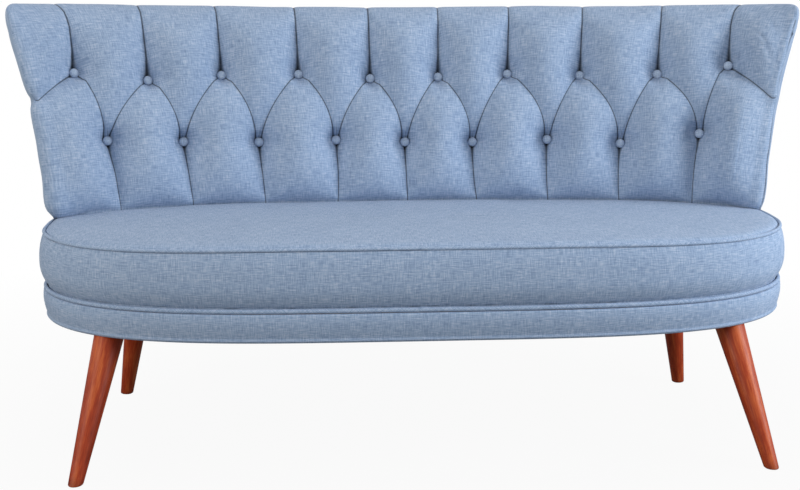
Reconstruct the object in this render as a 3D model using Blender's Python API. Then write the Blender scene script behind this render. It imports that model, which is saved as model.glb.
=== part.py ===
# Tufted two-seat sofa: oval seat drum on four raked round legs, with a wrap-around button back.
# Metres, +Z up, +X to the right of someone facing the sofa, the back at +Y.
import math

import bmesh
import bpy
from mathutils import Matrix, Vector
from mathutils.bvhtree import BVHTree

# Clearances
GAP = 0.0003
LAYER_GAP = 0.0005
BUTTON_CLEARANCE = 0.0006
BOLT_CLEARANCE = 0.0003

# Seat drum outline, seen from above
DRUM_HALF_WIDTH = 0.636
DRUM_HALF_DEPTH = 0.252
DRUM_CENTRE_Y = 0.017
FRONT_POWERS = (4.0, 2.0)
REAR_POWERS = (3.2, 3.2)
DRUM_SAMPLES = 64
OUTLINE_STEPS = 400

# Legs
LEG_HEIGHT = 0.2224
LEG_TOP_DIAMETER = 0.049
LEG_FOOT_DIAMETER = 0.023
LEG_FOOT_ROUNDING = 0.0025
LEG_SIDES = 20
LEG_INSET = 0.034
FRONT_LEG_IN_FROM_END = 0.106
REAR_LEG_IN_FROM_END = 0.130
FRONT_LEG_SPLAY = (0.050, 0.112)
REAR_LEG_SPLAY = (0.039, 0.057)
LEG_PLATE_DIAMETER = 0.050
LEG_PLATE_THICKNESS = 0.0025
LEG_BOLT_DIAMETER = 0.008
LEG_BOLT_LENGTH = 0.062
LEG_BOLT_SIDES = 10

# Base frame
BAND_THICKNESS = 0.004
BAND_HEIGHT = 0.045
BAND_FLANGE_WIDTH = 0.008
BAND_FLANGE_THICKNESS = 0.002
RAIL_WIDTH = 0.022
REAR_RAIL_WIDTH = 0.036
RAIL_HEIGHT = 0.0455
FRONT_RAIL_HALF_STATIONS = 8
REAR_RAIL_HALF_STATIONS = 8
LEG_BLOCK_HALF_STATIONS = 0.9
LEG_BLOCK_WIDTH = 0.060
LEG_BLOCK_HEIGHT = 0.042
STRETCHER_WIDTH = 0.045
STRETCHER_HEIGHT = 0.024
WEBBING_WIDTH = 0.070
WEBBING_THICKNESS = 0.0015
WEBBING_SHARES = (-0.52, -0.18, 0.18, 0.52)
WEBBING_LAP = 0.014
DUST_COVER_THICKNESS = 0.0012

# Seat cushion, welt and piping
PIPING_HEIGHT = 0.0077
PIPING_DEPTH = 0.005
PIPING_STANDOUT = 0.001
PIPING_NOSE = 0.001
BOXING_HEIGHT = 0.085
BOXING_BULGE = 0.0035
WELT_DIAMETER = 0.006
WELT_INSET = 0.003
WELT_SIDES = 8
CROWN_PUFF = 0.006
CROWN_PUFF_RUN = 0.006
CROWN_RISE = 0.012
CROWN_STEPS = (0.016, 0.060, 0.170)
BOXING_STEPS = 2

# Back: outside face
BACK_INSET = 0.004
BACK_TOP_MIDDLE = 0.722
WING_RISE = 0.015
BACK_END_ANGLE = math.radians(82.0)
WING_FLARE = 0.088
WING_RAKE = 0.070
BACK_RAKE = 0.080
LEAN_KNOTS = 5
LEAN_CURVING = 0.65

# Back: front face of the pad
PAD_WIDER_THAN_DRUM = 0.014
PAD_MIDDLE_THICKNESS = 0.080
PAD_POWER = 2.2
PAD_END_SHARE = 0.935
PAD_FLARE = 0.088
PAD_RAKE = 0.100
PAD_ROLL_HEIGHT = 0.030
TOP_ROLL_ANGLES = (35.0, 70.0, 110.0, 145.0)
WING_ROLL_ANGLES = (25.0, 50.0, 75.0)
WING_CORNER_RUN = 0.038
WING_CORNER_DROP = 0.024
WING_EDGE_RUN = 0.026

# Back: frame layers, from the outside face inwards
COVER_THICKNESS = 0.008
BACK_RAIL_THICKNESS = 0.018
BOARD_THICKNESS = 0.004
FRAME_END_SHARE = 0.95
FRAME_SEGMENTS = 28
BOTTOM_RAIL_TOP = 0.400
TOP_RAIL_HEIGHT = 0.045
COVER_RIM = 0.012
POST_SEGMENTS = (0, 8, 19, 27)
BACK_BOLT_DIAMETER = 0.006
BACK_BOLT_HEAD_DIAMETER = 0.0095
BACK_BOLT_HEAD_HEIGHT = 0.004
BACK_BOLT_LENGTH = 0.100
BACK_BOLT_SHARE = 0.42
COUNTERBORE_DEPTH = 0.008

# Tufting
LAST_BUTTON_SHARE = 0.933
TOP_ROW_DRAW = 0.939
CREST_DRAW = 0.918
TOP_ROW_HEIGHT = 0.602
LOWER_ROW_HEIGHT = 0.4825
ROW_END_RISE = 0.024
TOP_ROW_COUNT = 10
LOWER_ROW_COUNT = 9
BUTTON_DIAMETER = 0.019
BUTTON_HEIGHT = 0.007
BUTTON_SIDES = 10
BUTTON_BACK_SHARE = 0.72
BUTTON_BELLY_SHARE = 0.30
BUTTON_DOME = ((0.84, 0.72), (0.45, 0.95))
BUTTON_RAYS = 24
BUTTON_SINK = 0.020
BUTTON_DIMPLE_RADIUS = 0.024
PLEAT_SINK = 0.011
PLEAT_RUN = 0.016
END_PLEAT_DROP = 0.045
END_PLEAT_SHARE = 0.6
SEAT_PLEAT_FADE = 0.10
SEAT_PLEAT_SHARE = 0.4
COLUMNS_PER_HALF_PITCH = 2
SKIRT_LEVELS = (0.0, 0.35, 0.7)
DIAMOND_LEVELS = (0.0, 0.35, 0.707)
CROWN_LEVELS = (0.0, 0.35, 0.7, 1.0)

# Heights that follow from the sizes above
BACK_TOP_WING = BACK_TOP_MIDDLE + WING_RISE
BAND_BOTTOM = LEG_HEIGHT + GAP + LEG_PLATE_THICKNESS - BAND_FLANGE_THICKNESS
RAIL_BOTTOM = LEG_HEIGHT + GAP + LEG_PLATE_THICKNESS + GAP
RAIL_TOP = RAIL_BOTTOM + RAIL_HEIGHT
BAND_TOP = BAND_BOTTOM + BAND_HEIGHT
PIPING_BOTTOM = BAND_TOP + GAP
PIPING_TOP = PIPING_BOTTOM + PIPING_HEIGHT
WEBBING_TOP = RAIL_TOP + GAP + WEBBING_THICKNESS
CUSHION_BOTTOM = WEBBING_TOP + GAP
BOXING_BOTTOM = PIPING_TOP + GAP
BOXING_TOP = BOXING_BOTTOM + BOXING_HEIGHT
WELT_Z = BOXING_TOP + GAP + WELT_DIAMETER / 2
WELT_TOP = WELT_Z + WELT_DIAMETER / 2
REBATE_DEPTH = WELT_INSET + WELT_DIAMETER / 2 + GAP
BACK_BOTTOM = WELT_TOP + 2 * GAP
CUSHION_BACK_TOP = BACK_BOTTOM - GAP
LEAN_START = BACK_BOTTOM
RAIL_LAYER = COVER_THICKNESS + LAYER_GAP
BOARD_LAYER = RAIL_LAYER + BACK_RAIL_THICKNESS + LAYER_GAP
POCKET_DEPTH = BOARD_LAYER + BOARD_THICKNESS + LAYER_GAP
PAD_SHOULDER = BACK_TOP_MIDDLE - PAD_ROLL_HEIGHT
POCKET_TOP = PAD_SHOULDER - COVER_RIM
FRAME_TOP = POCKET_TOP - LAYER_GAP
OUTER_HALF_WIDTH = DRUM_HALF_WIDTH - BACK_INSET
OUTER_HALF_DEPTH = DRUM_HALF_DEPTH - BACK_INSET
PAD_HALF_WIDTH = DRUM_HALF_WIDTH + PAD_WIDER_THAN_DRUM
PAD_HALF_DEPTH = DRUM_CENTRE_Y + OUTER_HALF_DEPTH - PAD_MIDDLE_THICKNESS
TUFT_LEVEL = (TOP_ROW_HEIGHT + LOWER_ROW_HEIGHT) / 2

FABRIC = ((0.30, 0.38, 0.50), 0.9, 0.0)
PALE_FABRIC = ((0.38, 0.45, 0.56), 0.9, 0.0)
LEG_WOOD = ((0.26, 0.07, 0.03), 0.4, 0.0)
FRAME_WOOD = ((0.60, 0.45, 0.28), 0.8, 0.0)
PLYWOOD = ((0.66, 0.52, 0.35), 0.8, 0.0)
STEEL = ((0.55, 0.55, 0.56), 0.35, 1.0)
BLACK_CLOTH = ((0.03, 0.03, 0.035), 0.95, 0.0)
WEBBING = ((0.12, 0.12, 0.13), 0.9, 0.0)


# Objects

def clear_scene():
    for old in list(bpy.data.objects):
        bpy.data.objects.remove(old, do_unlink=True)


def make_material(name, finish):
    colour, roughness, metallic = finish
    material = bpy.data.materials.new(name)
    material.use_nodes = True
    shader = material.node_tree.nodes["Principled BSDF"]
    shader.inputs["Base Color"].default_value = (*colour, 1.0)
    shader.inputs["Roughness"].default_value = roughness
    shader.inputs["Metallic"].default_value = metallic
    return material


def add_object(name, bm, finish, smooth_angle=None):
    bmesh.ops.remove_doubles(bm, verts=bm.verts, dist=0.00001)
    bmesh.ops.recalc_face_normals(bm, faces=bm.faces)
    mesh = bpy.data.meshes.new(name)
    bm.to_mesh(mesh)
    bm.free()
    if smooth_angle is not None:
        mesh.shade_smooth()
        mesh.set_sharp_from_angle(angle=math.radians(smooth_angle))
    if finish is not None:
        mesh.materials.append(make_material(name, finish))
    obj = bpy.data.objects.new(name, mesh)
    bpy.context.collection.objects.link(obj)
    return obj


def add_cutter(name, bm):
    cutter = add_object(name, bm, None)
    cutter.hide_render = True
    cutter.display_type = "WIRE"
    return cutter


def cut(obj, cutter):
    modifier = obj.modifiers.new(cutter.name, "BOOLEAN")
    modifier.operation = "DIFFERENCE"
    modifier.solver = "EXACT"
    modifier.object = cutter


def loft(rings, closed_path=False, ladder_caps=False):
    """Skin rings of equal point counts; quads are split along the diagonal that rises along the path.

    Ladder caps join each point of an end ring to its mate in the ring's second half, which runs back down.
    """
    bm = bmesh.new()
    loops = [[bm.verts.new(point) for point in ring] for ring in rings]
    count = len(rings[0])
    last = len(loops) if closed_path else len(loops) - 1
    for i in range(last):
        here, there = loops[i], loops[(i + 1) % len(loops)]
        for j in range(count):
            k = (j + 1) % count
            a, b, c, d = here[j], here[k], there[k], there[j]
            if a.co.z <= b.co.z:
                bm.faces.new((a, b, c))
                bm.faces.new((a, c, d))
            else:
                bm.faces.new((a, b, d))
                bm.faces.new((b, c, d))
    if ladder_caps:
        for loop in (loops[0], loops[-1]):
            for j in range(count // 2 - 1):
                bm.faces.new((loop[j], loop[j + 1], loop[count - 2 - j], loop[count - 1 - j]))
        bmesh.ops.triangulate(bm, faces=bm.faces)
    elif not closed_path:
        ends = [bm.faces.new(loops[0]), bm.faces.new(list(reversed(loops[-1])))]
        bmesh.ops.triangulate(bm, faces=ends)
    return bm


def stack(rings):
    """Skin closed rings from the lowest to the highest, and cap both ends."""
    return loft(rings)


def cylinder(radius, bottom, top, sides, matrix=Matrix.Identity(4)):
    bm = bmesh.new()
    middle = Matrix.Translation((0.0, 0.0, (bottom + top) / 2))
    bmesh.ops.create_cone(bm, cap_ends=True, segments=sides, radius1=radius, radius2=radius,
                          depth=top - bottom, matrix=matrix @ middle)
    return bm


# Outlines

def power_arc(angle, half_width, half_depth, powers):
    """Point of a squared-off ellipse, at an angle from the middle of its long side."""
    x = half_width * math.copysign(abs(math.sin(angle)) ** (2 / powers[0]), angle)
    y = half_depth * max(math.cos(angle), 0.0) ** (2 / powers[1])
    return x, y


def power_normal(x, y, half_width, half_depth, powers):
    gx = powers[0] / half_width * (abs(x) / half_width) ** (powers[0] - 1)
    gy = powers[1] / half_depth * (abs(y) / half_depth) ** (powers[1] - 1)
    return Vector((math.copysign(gx, x), math.copysign(gy, y))).normalized()


def lengths_along(points):
    lengths = [0.0]
    for a, b in zip(points, points[1:]):
        lengths.append(lengths[-1] + math.dist(a, b))
    return lengths


def interpolate(value, xs, ys):
    for (x0, x1), (y0, y1) in zip(zip(xs, xs[1:]), zip(ys, ys[1:])):
        if value <= x1:
            return y0 + (y1 - y0) * (value - x0) / (x1 - x0)
    return ys[-1]


QUARTER_ANGLES = [math.pi / 2 * i / OUTLINE_STEPS for i in range(OUTLINE_STEPS + 1)]
FRONT_QUARTER = lengths_along([power_arc(a, DRUM_HALF_WIDTH, DRUM_HALF_DEPTH, FRONT_POWERS)
                               for a in QUARTER_ANGLES])
REAR_QUARTER = lengths_along([power_arc(a, DRUM_HALF_WIDTH, DRUM_HALF_DEPTH, REAR_POWERS)
                              for a in QUARTER_ANGLES])
HALF_PERIMETER = FRONT_QUARTER[-1] + REAR_QUARTER[-1]
DRUM_STEP = 2 * HALF_PERIMETER / DRUM_SAMPLES


def drum_point(distance, inset, shrink=False):
    """Point of the drum's outline, by the distance from the middle of the front, moved inwards.

    With shrink both half sizes are made smaller instead, which keeps deep insets from folding over.
    """
    wrapped = (distance + HALF_PERIMETER) % (2 * HALF_PERIMETER) - HALF_PERIMETER
    side = math.copysign(1.0, wrapped)
    length = abs(wrapped)
    if length <= FRONT_QUARTER[-1]:
        angle = interpolate(length, FRONT_QUARTER, QUARTER_ANGLES)
        powers, facing = FRONT_POWERS, -1.0
    else:
        angle = interpolate(HALF_PERIMETER - length, REAR_QUARTER, QUARTER_ANGLES)
        powers, facing = REAR_POWERS, 1.0
    if shrink:
        x, y = power_arc(angle, DRUM_HALF_WIDTH - inset, DRUM_HALF_DEPTH - inset, powers)
        return Vector((side * x, DRUM_CENTRE_Y + facing * y))
    x, y = power_arc(angle, DRUM_HALF_WIDTH, DRUM_HALF_DEPTH, powers)
    normal = power_normal(side * x, facing * y, DRUM_HALF_WIDTH, DRUM_HALF_DEPTH, powers)
    return Vector((side * x, DRUM_CENTRE_Y + facing * y)) - inset * normal


def drum_distance_at(x, inset, rear):
    """Distance along the outline at which the inset outline crosses x."""
    low, high = (FRONT_QUARTER[-1], HALF_PERIMETER) if rear else (0.0, FRONT_QUARTER[-1])
    for _ in range(40):
        middle = (low + high) / 2
        beyond = drum_point(middle, inset).x > abs(x)
        if beyond == rear:
            low = middle
        else:
            high = middle
    return math.copysign(low, x)


def drum_ring(inset, z, shrink=False):
    return [Vector((*drum_point(DRUM_STEP * i, inset, shrink), z)) for i in range(DRUM_SAMPLES)]


def drum_section_ring(profile):
    """Closed ring whose section is a list of (inset, height)."""
    rings = []
    for i in range(DRUM_SAMPLES):
        rings.append([Vector((*drum_point(DRUM_STEP * i, inset), z)) for inset, z in profile])
    return loft(rings, closed_path=True)


def drum_rail(first, last, outer, inner, bottom, top):
    """Curved timber between two insets of the drum's outline and two of its stations."""
    rings = []
    for station in range(first, last + 1):
        distance = station * DRUM_STEP
        if station in (first, last):
            distance += math.copysign(GAP / 2, (first + last) / 2 - station)
        near, far = drum_point(distance, outer), drum_point(distance, inner)
        rings.append([Vector((*near, bottom)), Vector((*far, bottom)),
                      Vector((*far, top)), Vector((*near, top))])
    return loft(rings)


# Legs and their fixings

def leg_top_place(rear, side):
    """Centre of a leg's top, a set distance in from the drum's edge."""
    from_end = REAR_LEG_IN_FROM_END if rear else FRONT_LEG_IN_FROM_END
    distance = drum_distance_at(DRUM_HALF_WIDTH - from_end, 0.0, rear)
    place = drum_point(side * distance, LEG_INSET)
    return Vector((place.x, place.y, LEG_HEIGHT)), side * distance


def leg_axis(rear, side):
    """Direction up the leg, from its foot to its top."""
    splay = REAR_LEG_SPLAY if rear else FRONT_LEG_SPLAY
    forward = -1.0 if rear else 1.0
    return Vector((-side * splay[0], forward * splay[1], LEG_HEIGHT)).normalized()


def axis_matrix(place, axis):
    return Matrix.Translation(place) @ Vector((0, 0, 1)).rotation_difference(axis).to_matrix().to_4x4()


def build_leg(name, top_place, axis):
    """Tapered round leg: turned about its axis, then cut level at the floor and under the plate."""
    length = LEG_HEIGHT / axis.z
    spare = LEG_TOP_DIAMETER
    slope = (LEG_TOP_DIAMETER - LEG_FOOT_DIAMETER) / 2 / length
    bm = bmesh.new()
    bmesh.ops.create_cone(bm, cap_ends=True, segments=LEG_SIDES,
                          radius1=LEG_FOOT_DIAMETER / 2 - slope * spare,
                          radius2=LEG_TOP_DIAMETER / 2 + slope * spare,
                          depth=length + 2 * spare,
                          matrix=Matrix.Translation((0, 0, -length / 2)))
    bm.transform(Vector((0, 0, 1)).rotation_difference(axis).to_matrix().to_4x4())
    for level, outside in ((0.0, Vector((0, 0, 1))), (-LEG_HEIGHT, Vector((0, 0, -1)))):
        geometry = bm.verts[:] + bm.edges[:] + bm.faces[:]
        bmesh.ops.bisect_plane(bm, geom=geometry, plane_co=(0, 0, level), plane_no=outside, clear_outer=True)
        rim = [edge for edge in bm.edges if edge.is_boundary]
        bmesh.ops.contextual_create(bm, geom=rim)
    foot_rim = [edge for edge in bm.edges if all(abs(v.co.z + LEG_HEIGHT) < GAP for v in edge.verts)]
    bmesh.ops.bevel(bm, geom=foot_rim, offset=LEG_FOOT_ROUNDING, segments=2, profile=0.5, affect="EDGES")
    leg = add_object(name, bm, LEG_WOOD, smooth_angle=50)
    leg.location = top_place
    return leg


def build_legs():
    """Four legs, each with its round plate, its timber block and its hanger bolt."""
    places = []
    for end, rear in (("front", False), ("rear", True)):
        for hand, side in (("left", -1.0), ("right", 1.0)):
            label = end + "_" + hand
            place, distance = leg_top_place(rear, side)
            axis = leg_axis(rear, side)
            leg = build_leg("leg_" + label, place, axis)
            plate_bottom = LEG_HEIGHT + GAP
            plate = add_object("leg_plate_" + label,
                               cylinder(LEG_PLATE_DIAMETER / 2, 0.0, LEG_PLATE_THICKNESS, LEG_SIDES),
                               STEEL, smooth_angle=50)
            plate.location = (place.x, place.y, plate_bottom)
            station = distance / DRUM_STEP
            outer = BAND_THICKNESS + GAP + RAIL_WIDTH + GAP
            block = add_object("leg_block_" + label,
                               drum_rail(math.floor(station - LEG_BLOCK_HALF_STATIONS),
                                         math.ceil(station + LEG_BLOCK_HALF_STATIONS),
                                         outer, outer + LEG_BLOCK_WIDTH,
                                         RAIL_BOTTOM, RAIL_BOTTOM + LEG_BLOCK_HEIGHT), FRAME_WOOD)
            frame = axis_matrix(place, axis)
            reach = LEG_BOLT_LENGTH / 2
            hole = add_cutter("bolt_hole_" + label,
                              cylinder(LEG_BOLT_DIAMETER / 2 + BOLT_CLEARANCE, -reach - GAP, reach + GAP,
                                       LEG_BOLT_SIDES, frame))
            for part in (leg, plate, block):
                cut(part, hole)
            add_object("leg_bolt_" + label, cylinder(LEG_BOLT_DIAMETER / 2, -reach, reach,
                                                     LEG_BOLT_SIDES, frame), STEEL, smooth_angle=50)
            places.append(place)
    return places


# Base

def build_base(leg_places):
    outer = BAND_THICKNESS + GAP
    inner = outer + RAIL_WIDTH
    front, rear = FRONT_RAIL_HALF_STATIONS, DRUM_SAMPLES // 2 - REAR_RAIL_HALF_STATIONS
    add_object("base_front_rail", drum_rail(-front, front, outer, inner, RAIL_BOTTOM, RAIL_TOP), FRAME_WOOD)
    for hand, first, last in (("left", -rear, -front), ("right", front, rear)):
        add_object("base_" + hand + "_rail",
                   drum_rail(first, last, outer, inner, RAIL_BOTTOM, RAIL_TOP), FRAME_WOOD)
    rear_rail = add_object("base_rear_rail",
                           drum_rail(rear, DRUM_SAMPLES - rear, outer, outer + REAR_RAIL_WIDTH,
                                     RAIL_BOTTOM, RAIL_TOP), FRAME_WOOD)
    add_object("base_centre_stretcher",
               cross_bar(0.0, STRETCHER_WIDTH, inner + GAP, outer + REAR_RAIL_WIDTH + GAP,
                         RAIL_BOTTOM, RAIL_BOTTOM + STRETCHER_HEIGHT), FRAME_WOOD)
    frame_edge = BACK_INSET + POCKET_DEPTH
    for number, share in enumerate(WEBBING_SHARES, 1):
        add_object("webbing_" + str(number),
                   cross_bar(share * DRUM_HALF_WIDTH, WEBBING_WIDTH, inner - WEBBING_LAP, frame_edge,
                             RAIL_TOP + GAP, WEBBING_TOP), WEBBING)
    flange = BAND_BOTTOM + BAND_FLANGE_THICKNESS
    band_profile = [(0.0, BAND_BOTTOM), (BAND_FLANGE_WIDTH, BAND_BOTTOM), (BAND_FLANGE_WIDTH, flange),
                    (BAND_THICKNESS, flange), (BAND_THICKNESS, BAND_TOP), (0.0, BAND_TOP)]
    add_object("base_band", drum_section_ring(band_profile), FABRIC, smooth_angle=50)
    dust_top = RAIL_BOTTOM - GAP
    dust_inset = BAND_FLANGE_WIDTH + GAP
    dust = add_object("dust_cover", stack([drum_ring(dust_inset, dust_top - DUST_COVER_THICKNESS),
                                           drum_ring(dust_inset, dust_top)]), BLACK_CLOTH)
    for number, place in enumerate(leg_places, 1):
        window = cylinder(LEG_PLATE_DIAMETER / 2 + GAP, dust_top - 2 * DUST_COVER_THICKNESS,
                          dust_top + DUST_COVER_THICKNESS, LEG_SIDES,
                          Matrix.Translation((place.x, place.y, 0.0)))
        cut(dust, add_cutter("plate_window_" + str(number), window))
    return rear_rail


def cross_bar(x, width, front_inset, rear_inset, bottom, top):
    """Straight bar from the front of the drum to its rear, its ends cut to the curved rails."""
    corners = []
    for corner_x in (x - width / 2, x + width / 2):
        front = drum_point(drum_distance_at(corner_x, front_inset, False), front_inset)
        rear = drum_point(drum_distance_at(corner_x, rear_inset, True), rear_inset)
        corners.append((Vector((corner_x, front.y)), Vector((corner_x, rear.y))))
    (a, d), (b, c) = corners
    return stack([[Vector((*corner, z)) for corner in (a, b, c, d)] for z in (bottom, top)])


def build_piping():
    """Flat-sided piping between the band and the cushion."""
    nose = PIPING_STANDOUT + PIPING_NOSE
    middle = (PIPING_BOTTOM + PIPING_TOP) / 2
    quarter = PIPING_HEIGHT / 4
    back = PIPING_DEPTH - PIPING_STANDOUT
    profile = [(0.0, PIPING_BOTTOM), (back, PIPING_BOTTOM), (back, PIPING_TOP), (0.0, PIPING_TOP),
               (-PIPING_STANDOUT, middle + quarter), (-nose, middle), (-PIPING_STANDOUT, middle - quarter)]
    add_object("seat_lower_piping", drum_section_ring(profile), FABRIC, smooth_angle=60)


def build_welt():
    """Round welt cord, laid in the rebate around the cushion's top edge."""
    radius = WELT_DIAMETER / 2
    turns = [math.tau * (j + 0.5) / WELT_SIDES for j in range(WELT_SIDES)]
    profile = [(WELT_INSET + radius * math.cos(turn), WELT_Z + radius * math.sin(turn)) for turn in turns]
    add_object("seat_top_welt", drum_section_ring(profile), FABRIC, smooth_angle=60)


def crown_height(inset):
    """Height of the cushion's top, by the distance in from the drum's edge."""
    past = min(inset, DRUM_HALF_DEPTH)
    puff = CROWN_PUFF * (1 - math.exp(-past / CROWN_PUFF_RUN))
    return BOXING_TOP + puff + CROWN_RISE * (1 - (1 - past / DRUM_HALF_DEPTH) ** 2)


def build_cushion():
    """Seat cushion: bulging sides, a rebate for the welt, and a crowned top cut back for the sofa's back."""
    rings = [drum_ring(REBATE_DEPTH, CUSHION_BOTTOM), drum_ring(REBATE_DEPTH, BOXING_BOTTOM)]
    for step in range(BOXING_STEPS + 1):
        share = step / BOXING_STEPS
        bulge = BOXING_BULGE * math.sin(math.pi * share)
        rings.append(drum_ring(-bulge, BOXING_BOTTOM + BOXING_HEIGHT * share))
    rings.append(drum_ring(REBATE_DEPTH, BOXING_TOP))
    rings.append(drum_ring(REBATE_DEPTH, crown_height(REBATE_DEPTH)))
    for inset in CROWN_STEPS:
        rings.append(drum_ring(inset, crown_height(inset), shrink=True))
    cushion = add_object("seat_cushion", stack(rings), FABRIC, smooth_angle=50)
    cut(cushion, back_recess_cutter())
    cut(cushion, bottom_rail_cutter())
    return cushion


def back_recess_cutter():
    """Level step behind the front line of the back, on which the back stands."""
    front = [front_point(share, BACK_BOTTOM, -GAP).xy for share in pad_stations()]
    left, right = ([wing_point(side, math.radians(angle), BACK_BOTTOM, 1.0, GAP).xy
                    for angle in WING_ROLL_ANGLES] for side in (-1.0, 1.0))
    reach = DRUM_HALF_WIDTH + BAND_HEIGHT
    outline = left[::-1] + front + right
    outline += [Vector((reach, right[-1].y)), Vector((reach, DRUM_HALF_DEPTH * 2)),
                Vector((-reach, DRUM_HALF_DEPTH * 2)), Vector((-reach, left[-1].y))]
    top = BACK_BOTTOM + CROWN_RISE + CROWN_PUFF + BAND_HEIGHT
    levels = (CUSHION_BACK_TOP, top)
    return add_cutter("back_recess", stack([[Vector((*p, z)) for p in outline] for z in levels]))


def bottom_rail_cutter():
    """Slot for the back's bottom rail, through the cushion."""
    wide = LAYER_GAP
    return add_cutter("bottom_rail_slot",
                      back_slab(RAIL_LAYER - wide, RAIL_LAYER + BACK_RAIL_THICKNESS + wide,
                                CUSHION_BOTTOM - BAND_HEIGHT / 2, BOTTOM_RAIL_TOP + BAND_HEIGHT / 2,
                                0, FRAME_SEGMENTS, wide))


# Back

def lean_share(z):
    """How far the back has leaned out at a height: 0 at the seat, 1 at the top, in straight steps."""
    step = (BACK_TOP_WING - LEAN_START) / LEAN_KNOTS
    level = max(0.0, (z - LEAN_START) / step)
    low = math.floor(level)
    here, above = (k * (1 - LEAN_CURVING) + k ** 2 * LEAN_CURVING
                   for k in (low / LEAN_KNOTS, (low + 1) / LEAN_KNOTS))
    return here + (above - here) * (level - low)


def knots_between(low, high):
    step = (BACK_TOP_WING - LEAN_START) / LEAN_KNOTS
    levels = [LEAN_START + step * k for k in range(LEAN_KNOTS + 1)]
    return [low] + [z for z in levels if low + GAP < z < high - GAP] + [high]


OUTER_ANGLES = [BACK_END_ANGLE * i / OUTLINE_STEPS for i in range(OUTLINE_STEPS + 1)]
OUTER_LENGTHS = lengths_along([power_arc(a, OUTER_HALF_WIDTH, OUTER_HALF_DEPTH, REAR_POWERS)
                               for a in OUTER_ANGLES])


def outer_point(share, z, depth):
    """Point of the back at a share (-1 to 1) of its length, a depth in from its outside face."""
    lean = lean_share(z)
    half_width = OUTER_HALF_WIDTH + WING_FLARE * lean
    half_depth = OUTER_HALF_DEPTH + (BACK_RAKE - WING_RAKE) * lean
    angle = interpolate(abs(share) * OUTER_LENGTHS[-1], OUTER_LENGTHS, OUTER_ANGLES)
    x, y = power_arc(math.copysign(angle, share), half_width, half_depth, REAR_POWERS)
    place = Vector((x, y + DRUM_CENTRE_Y + WING_RAKE * lean))
    place -= depth * power_normal(x, y, half_width, half_depth, REAR_POWERS)
    return Vector((*place, z))


def pad_curve(fraction, z):
    lean = lean_share(z)
    half_width = PAD_HALF_WIDTH + PAD_FLARE * lean
    half_depth = PAD_HALF_DEPTH + (PAD_RAKE - WING_RAKE) * lean
    x = half_width * fraction
    y = half_depth * (1 - abs(fraction) ** PAD_POWER) ** (1 / PAD_POWER)
    return x, y, half_width, half_depth, WING_RAKE * lean


PAD_FRACTIONS = [PAD_END_SHARE * i / OUTLINE_STEPS for i in range(OUTLINE_STEPS + 1)]
PAD_LENGTHS = lengths_along([pad_curve(f, TUFT_LEVEL)[:2] for f in PAD_FRACTIONS])
PAD_HALF_LENGTH = PAD_LENGTHS[-1]
HALF_PITCH = LAST_BUTTON_SHARE * PAD_HALF_LENGTH / (TOP_ROW_COUNT - 1)


def front_point(share, z, sink):
    """Point of the pad's front face at a share of its length, sunk towards the rear."""
    fraction = math.copysign(interpolate(abs(share) * PAD_HALF_LENGTH, PAD_LENGTHS, PAD_FRACTIONS), share)
    x, y, half_width, half_depth, centre_y = pad_curve(fraction, z)
    normal = power_normal(x, y, half_width, half_depth, (PAD_POWER, PAD_POWER))
    place = Vector((x, y + centre_y)) + sink * normal
    return Vector((*place, z))


def drawn_share(share, z):
    """Share after the pleats have drawn together upwards; the wing ends stay where they are."""
    levels = (LOWER_ROW_HEIGHT, TOP_ROW_HEIGHT, BACK_TOP_MIDDLE)
    draw = min(1.0, interpolate(z, levels, (1.0, TOP_ROW_DRAW, CREST_DRAW)))
    last = LAST_BUTTON_SHARE
    if abs(share) <= last:
        return share * draw
    beyond = (abs(share) - last) / (1 - last)
    return math.copysign(last * draw + beyond * (1 - last * draw), share)


def tufted_point(share, z, sink):
    return front_point(drawn_share(share, z), z, sink)


def row_height(base, share):
    """Both button rows rise a little towards the wings."""
    return base + ROW_END_RISE * share ** 4


def crease(distance, depth):
    return depth * math.exp(-abs(distance) / PLEAT_RUN)


def tuft_sink(share, z):
    """Depth of the pleats and button hollows, at a share of the pad's length and a height."""
    along = share * PAD_HALF_LENGTH / HALF_PITCH
    top, low = row_height(TOP_ROW_HEIGHT, share), row_height(LOWER_ROW_HEIGHT, share)
    level = (z - low) / (top - low)
    last_top, last_low = TOP_ROW_COUNT - 1, LOWER_ROW_COUNT - 1
    pleats, hollows = [0.0], [0.0]
    odd = 2 * round((along - 1) / 2) + 1
    even = 2 * round(along / 2)
    if level >= 1 and abs(odd) <= last_top:
        pleats.append(crease((along - odd) * HALF_PITCH, PLEAT_SINK))
    if level <= 0 and abs(even) <= last_low:
        rise = (z - BACK_BOTTOM) / SEAT_PLEAT_FADE
        fade = min(1.0, SEAT_PLEAT_SHARE + (1 - SEAT_PLEAT_SHARE) * rise)
        pleats.append(crease((along - even) * HALF_PITCH, PLEAT_SINK * fade))
    if 0 < level < 1:
        slope = 2 * level * HALF_PITCH / (top - low)
        for button in (even - 2, even, even + 2):
            if abs(button) <= last_low:
                for hand in (-1, 1):
                    offset = (along - button - hand * level ** 2) * HALF_PITCH
                    pleats.append(crease(offset / math.hypot(1, slope), PLEAT_SINK))
    end_gap = abs(along) - last_top
    if end_gap > 0:
        run = PAD_HALF_LENGTH / HALF_PITCH - last_top
        seam = top - END_PLEAT_DROP * end_gap / run
        pleats.append(crease(z - seam, PLEAT_SINK * END_PLEAT_SHARE))
    for row_z, nearest, last in ((top, odd, last_top), (low, even, last_low)):
        button = max(-last, min(last, nearest))
        reach = math.hypot((along - button) * HALF_PITCH, z - row_z) / BUTTON_DIMPLE_RADIUS
        hollows.append((BUTTON_SINK - PLEAT_SINK) * math.exp(-reach ** 1.5))
    return max(pleats) + max(hollows)


def frame_share(segment):
    return FRAME_END_SHARE * (2 * segment / FRAME_SEGMENTS - 1)


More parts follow.
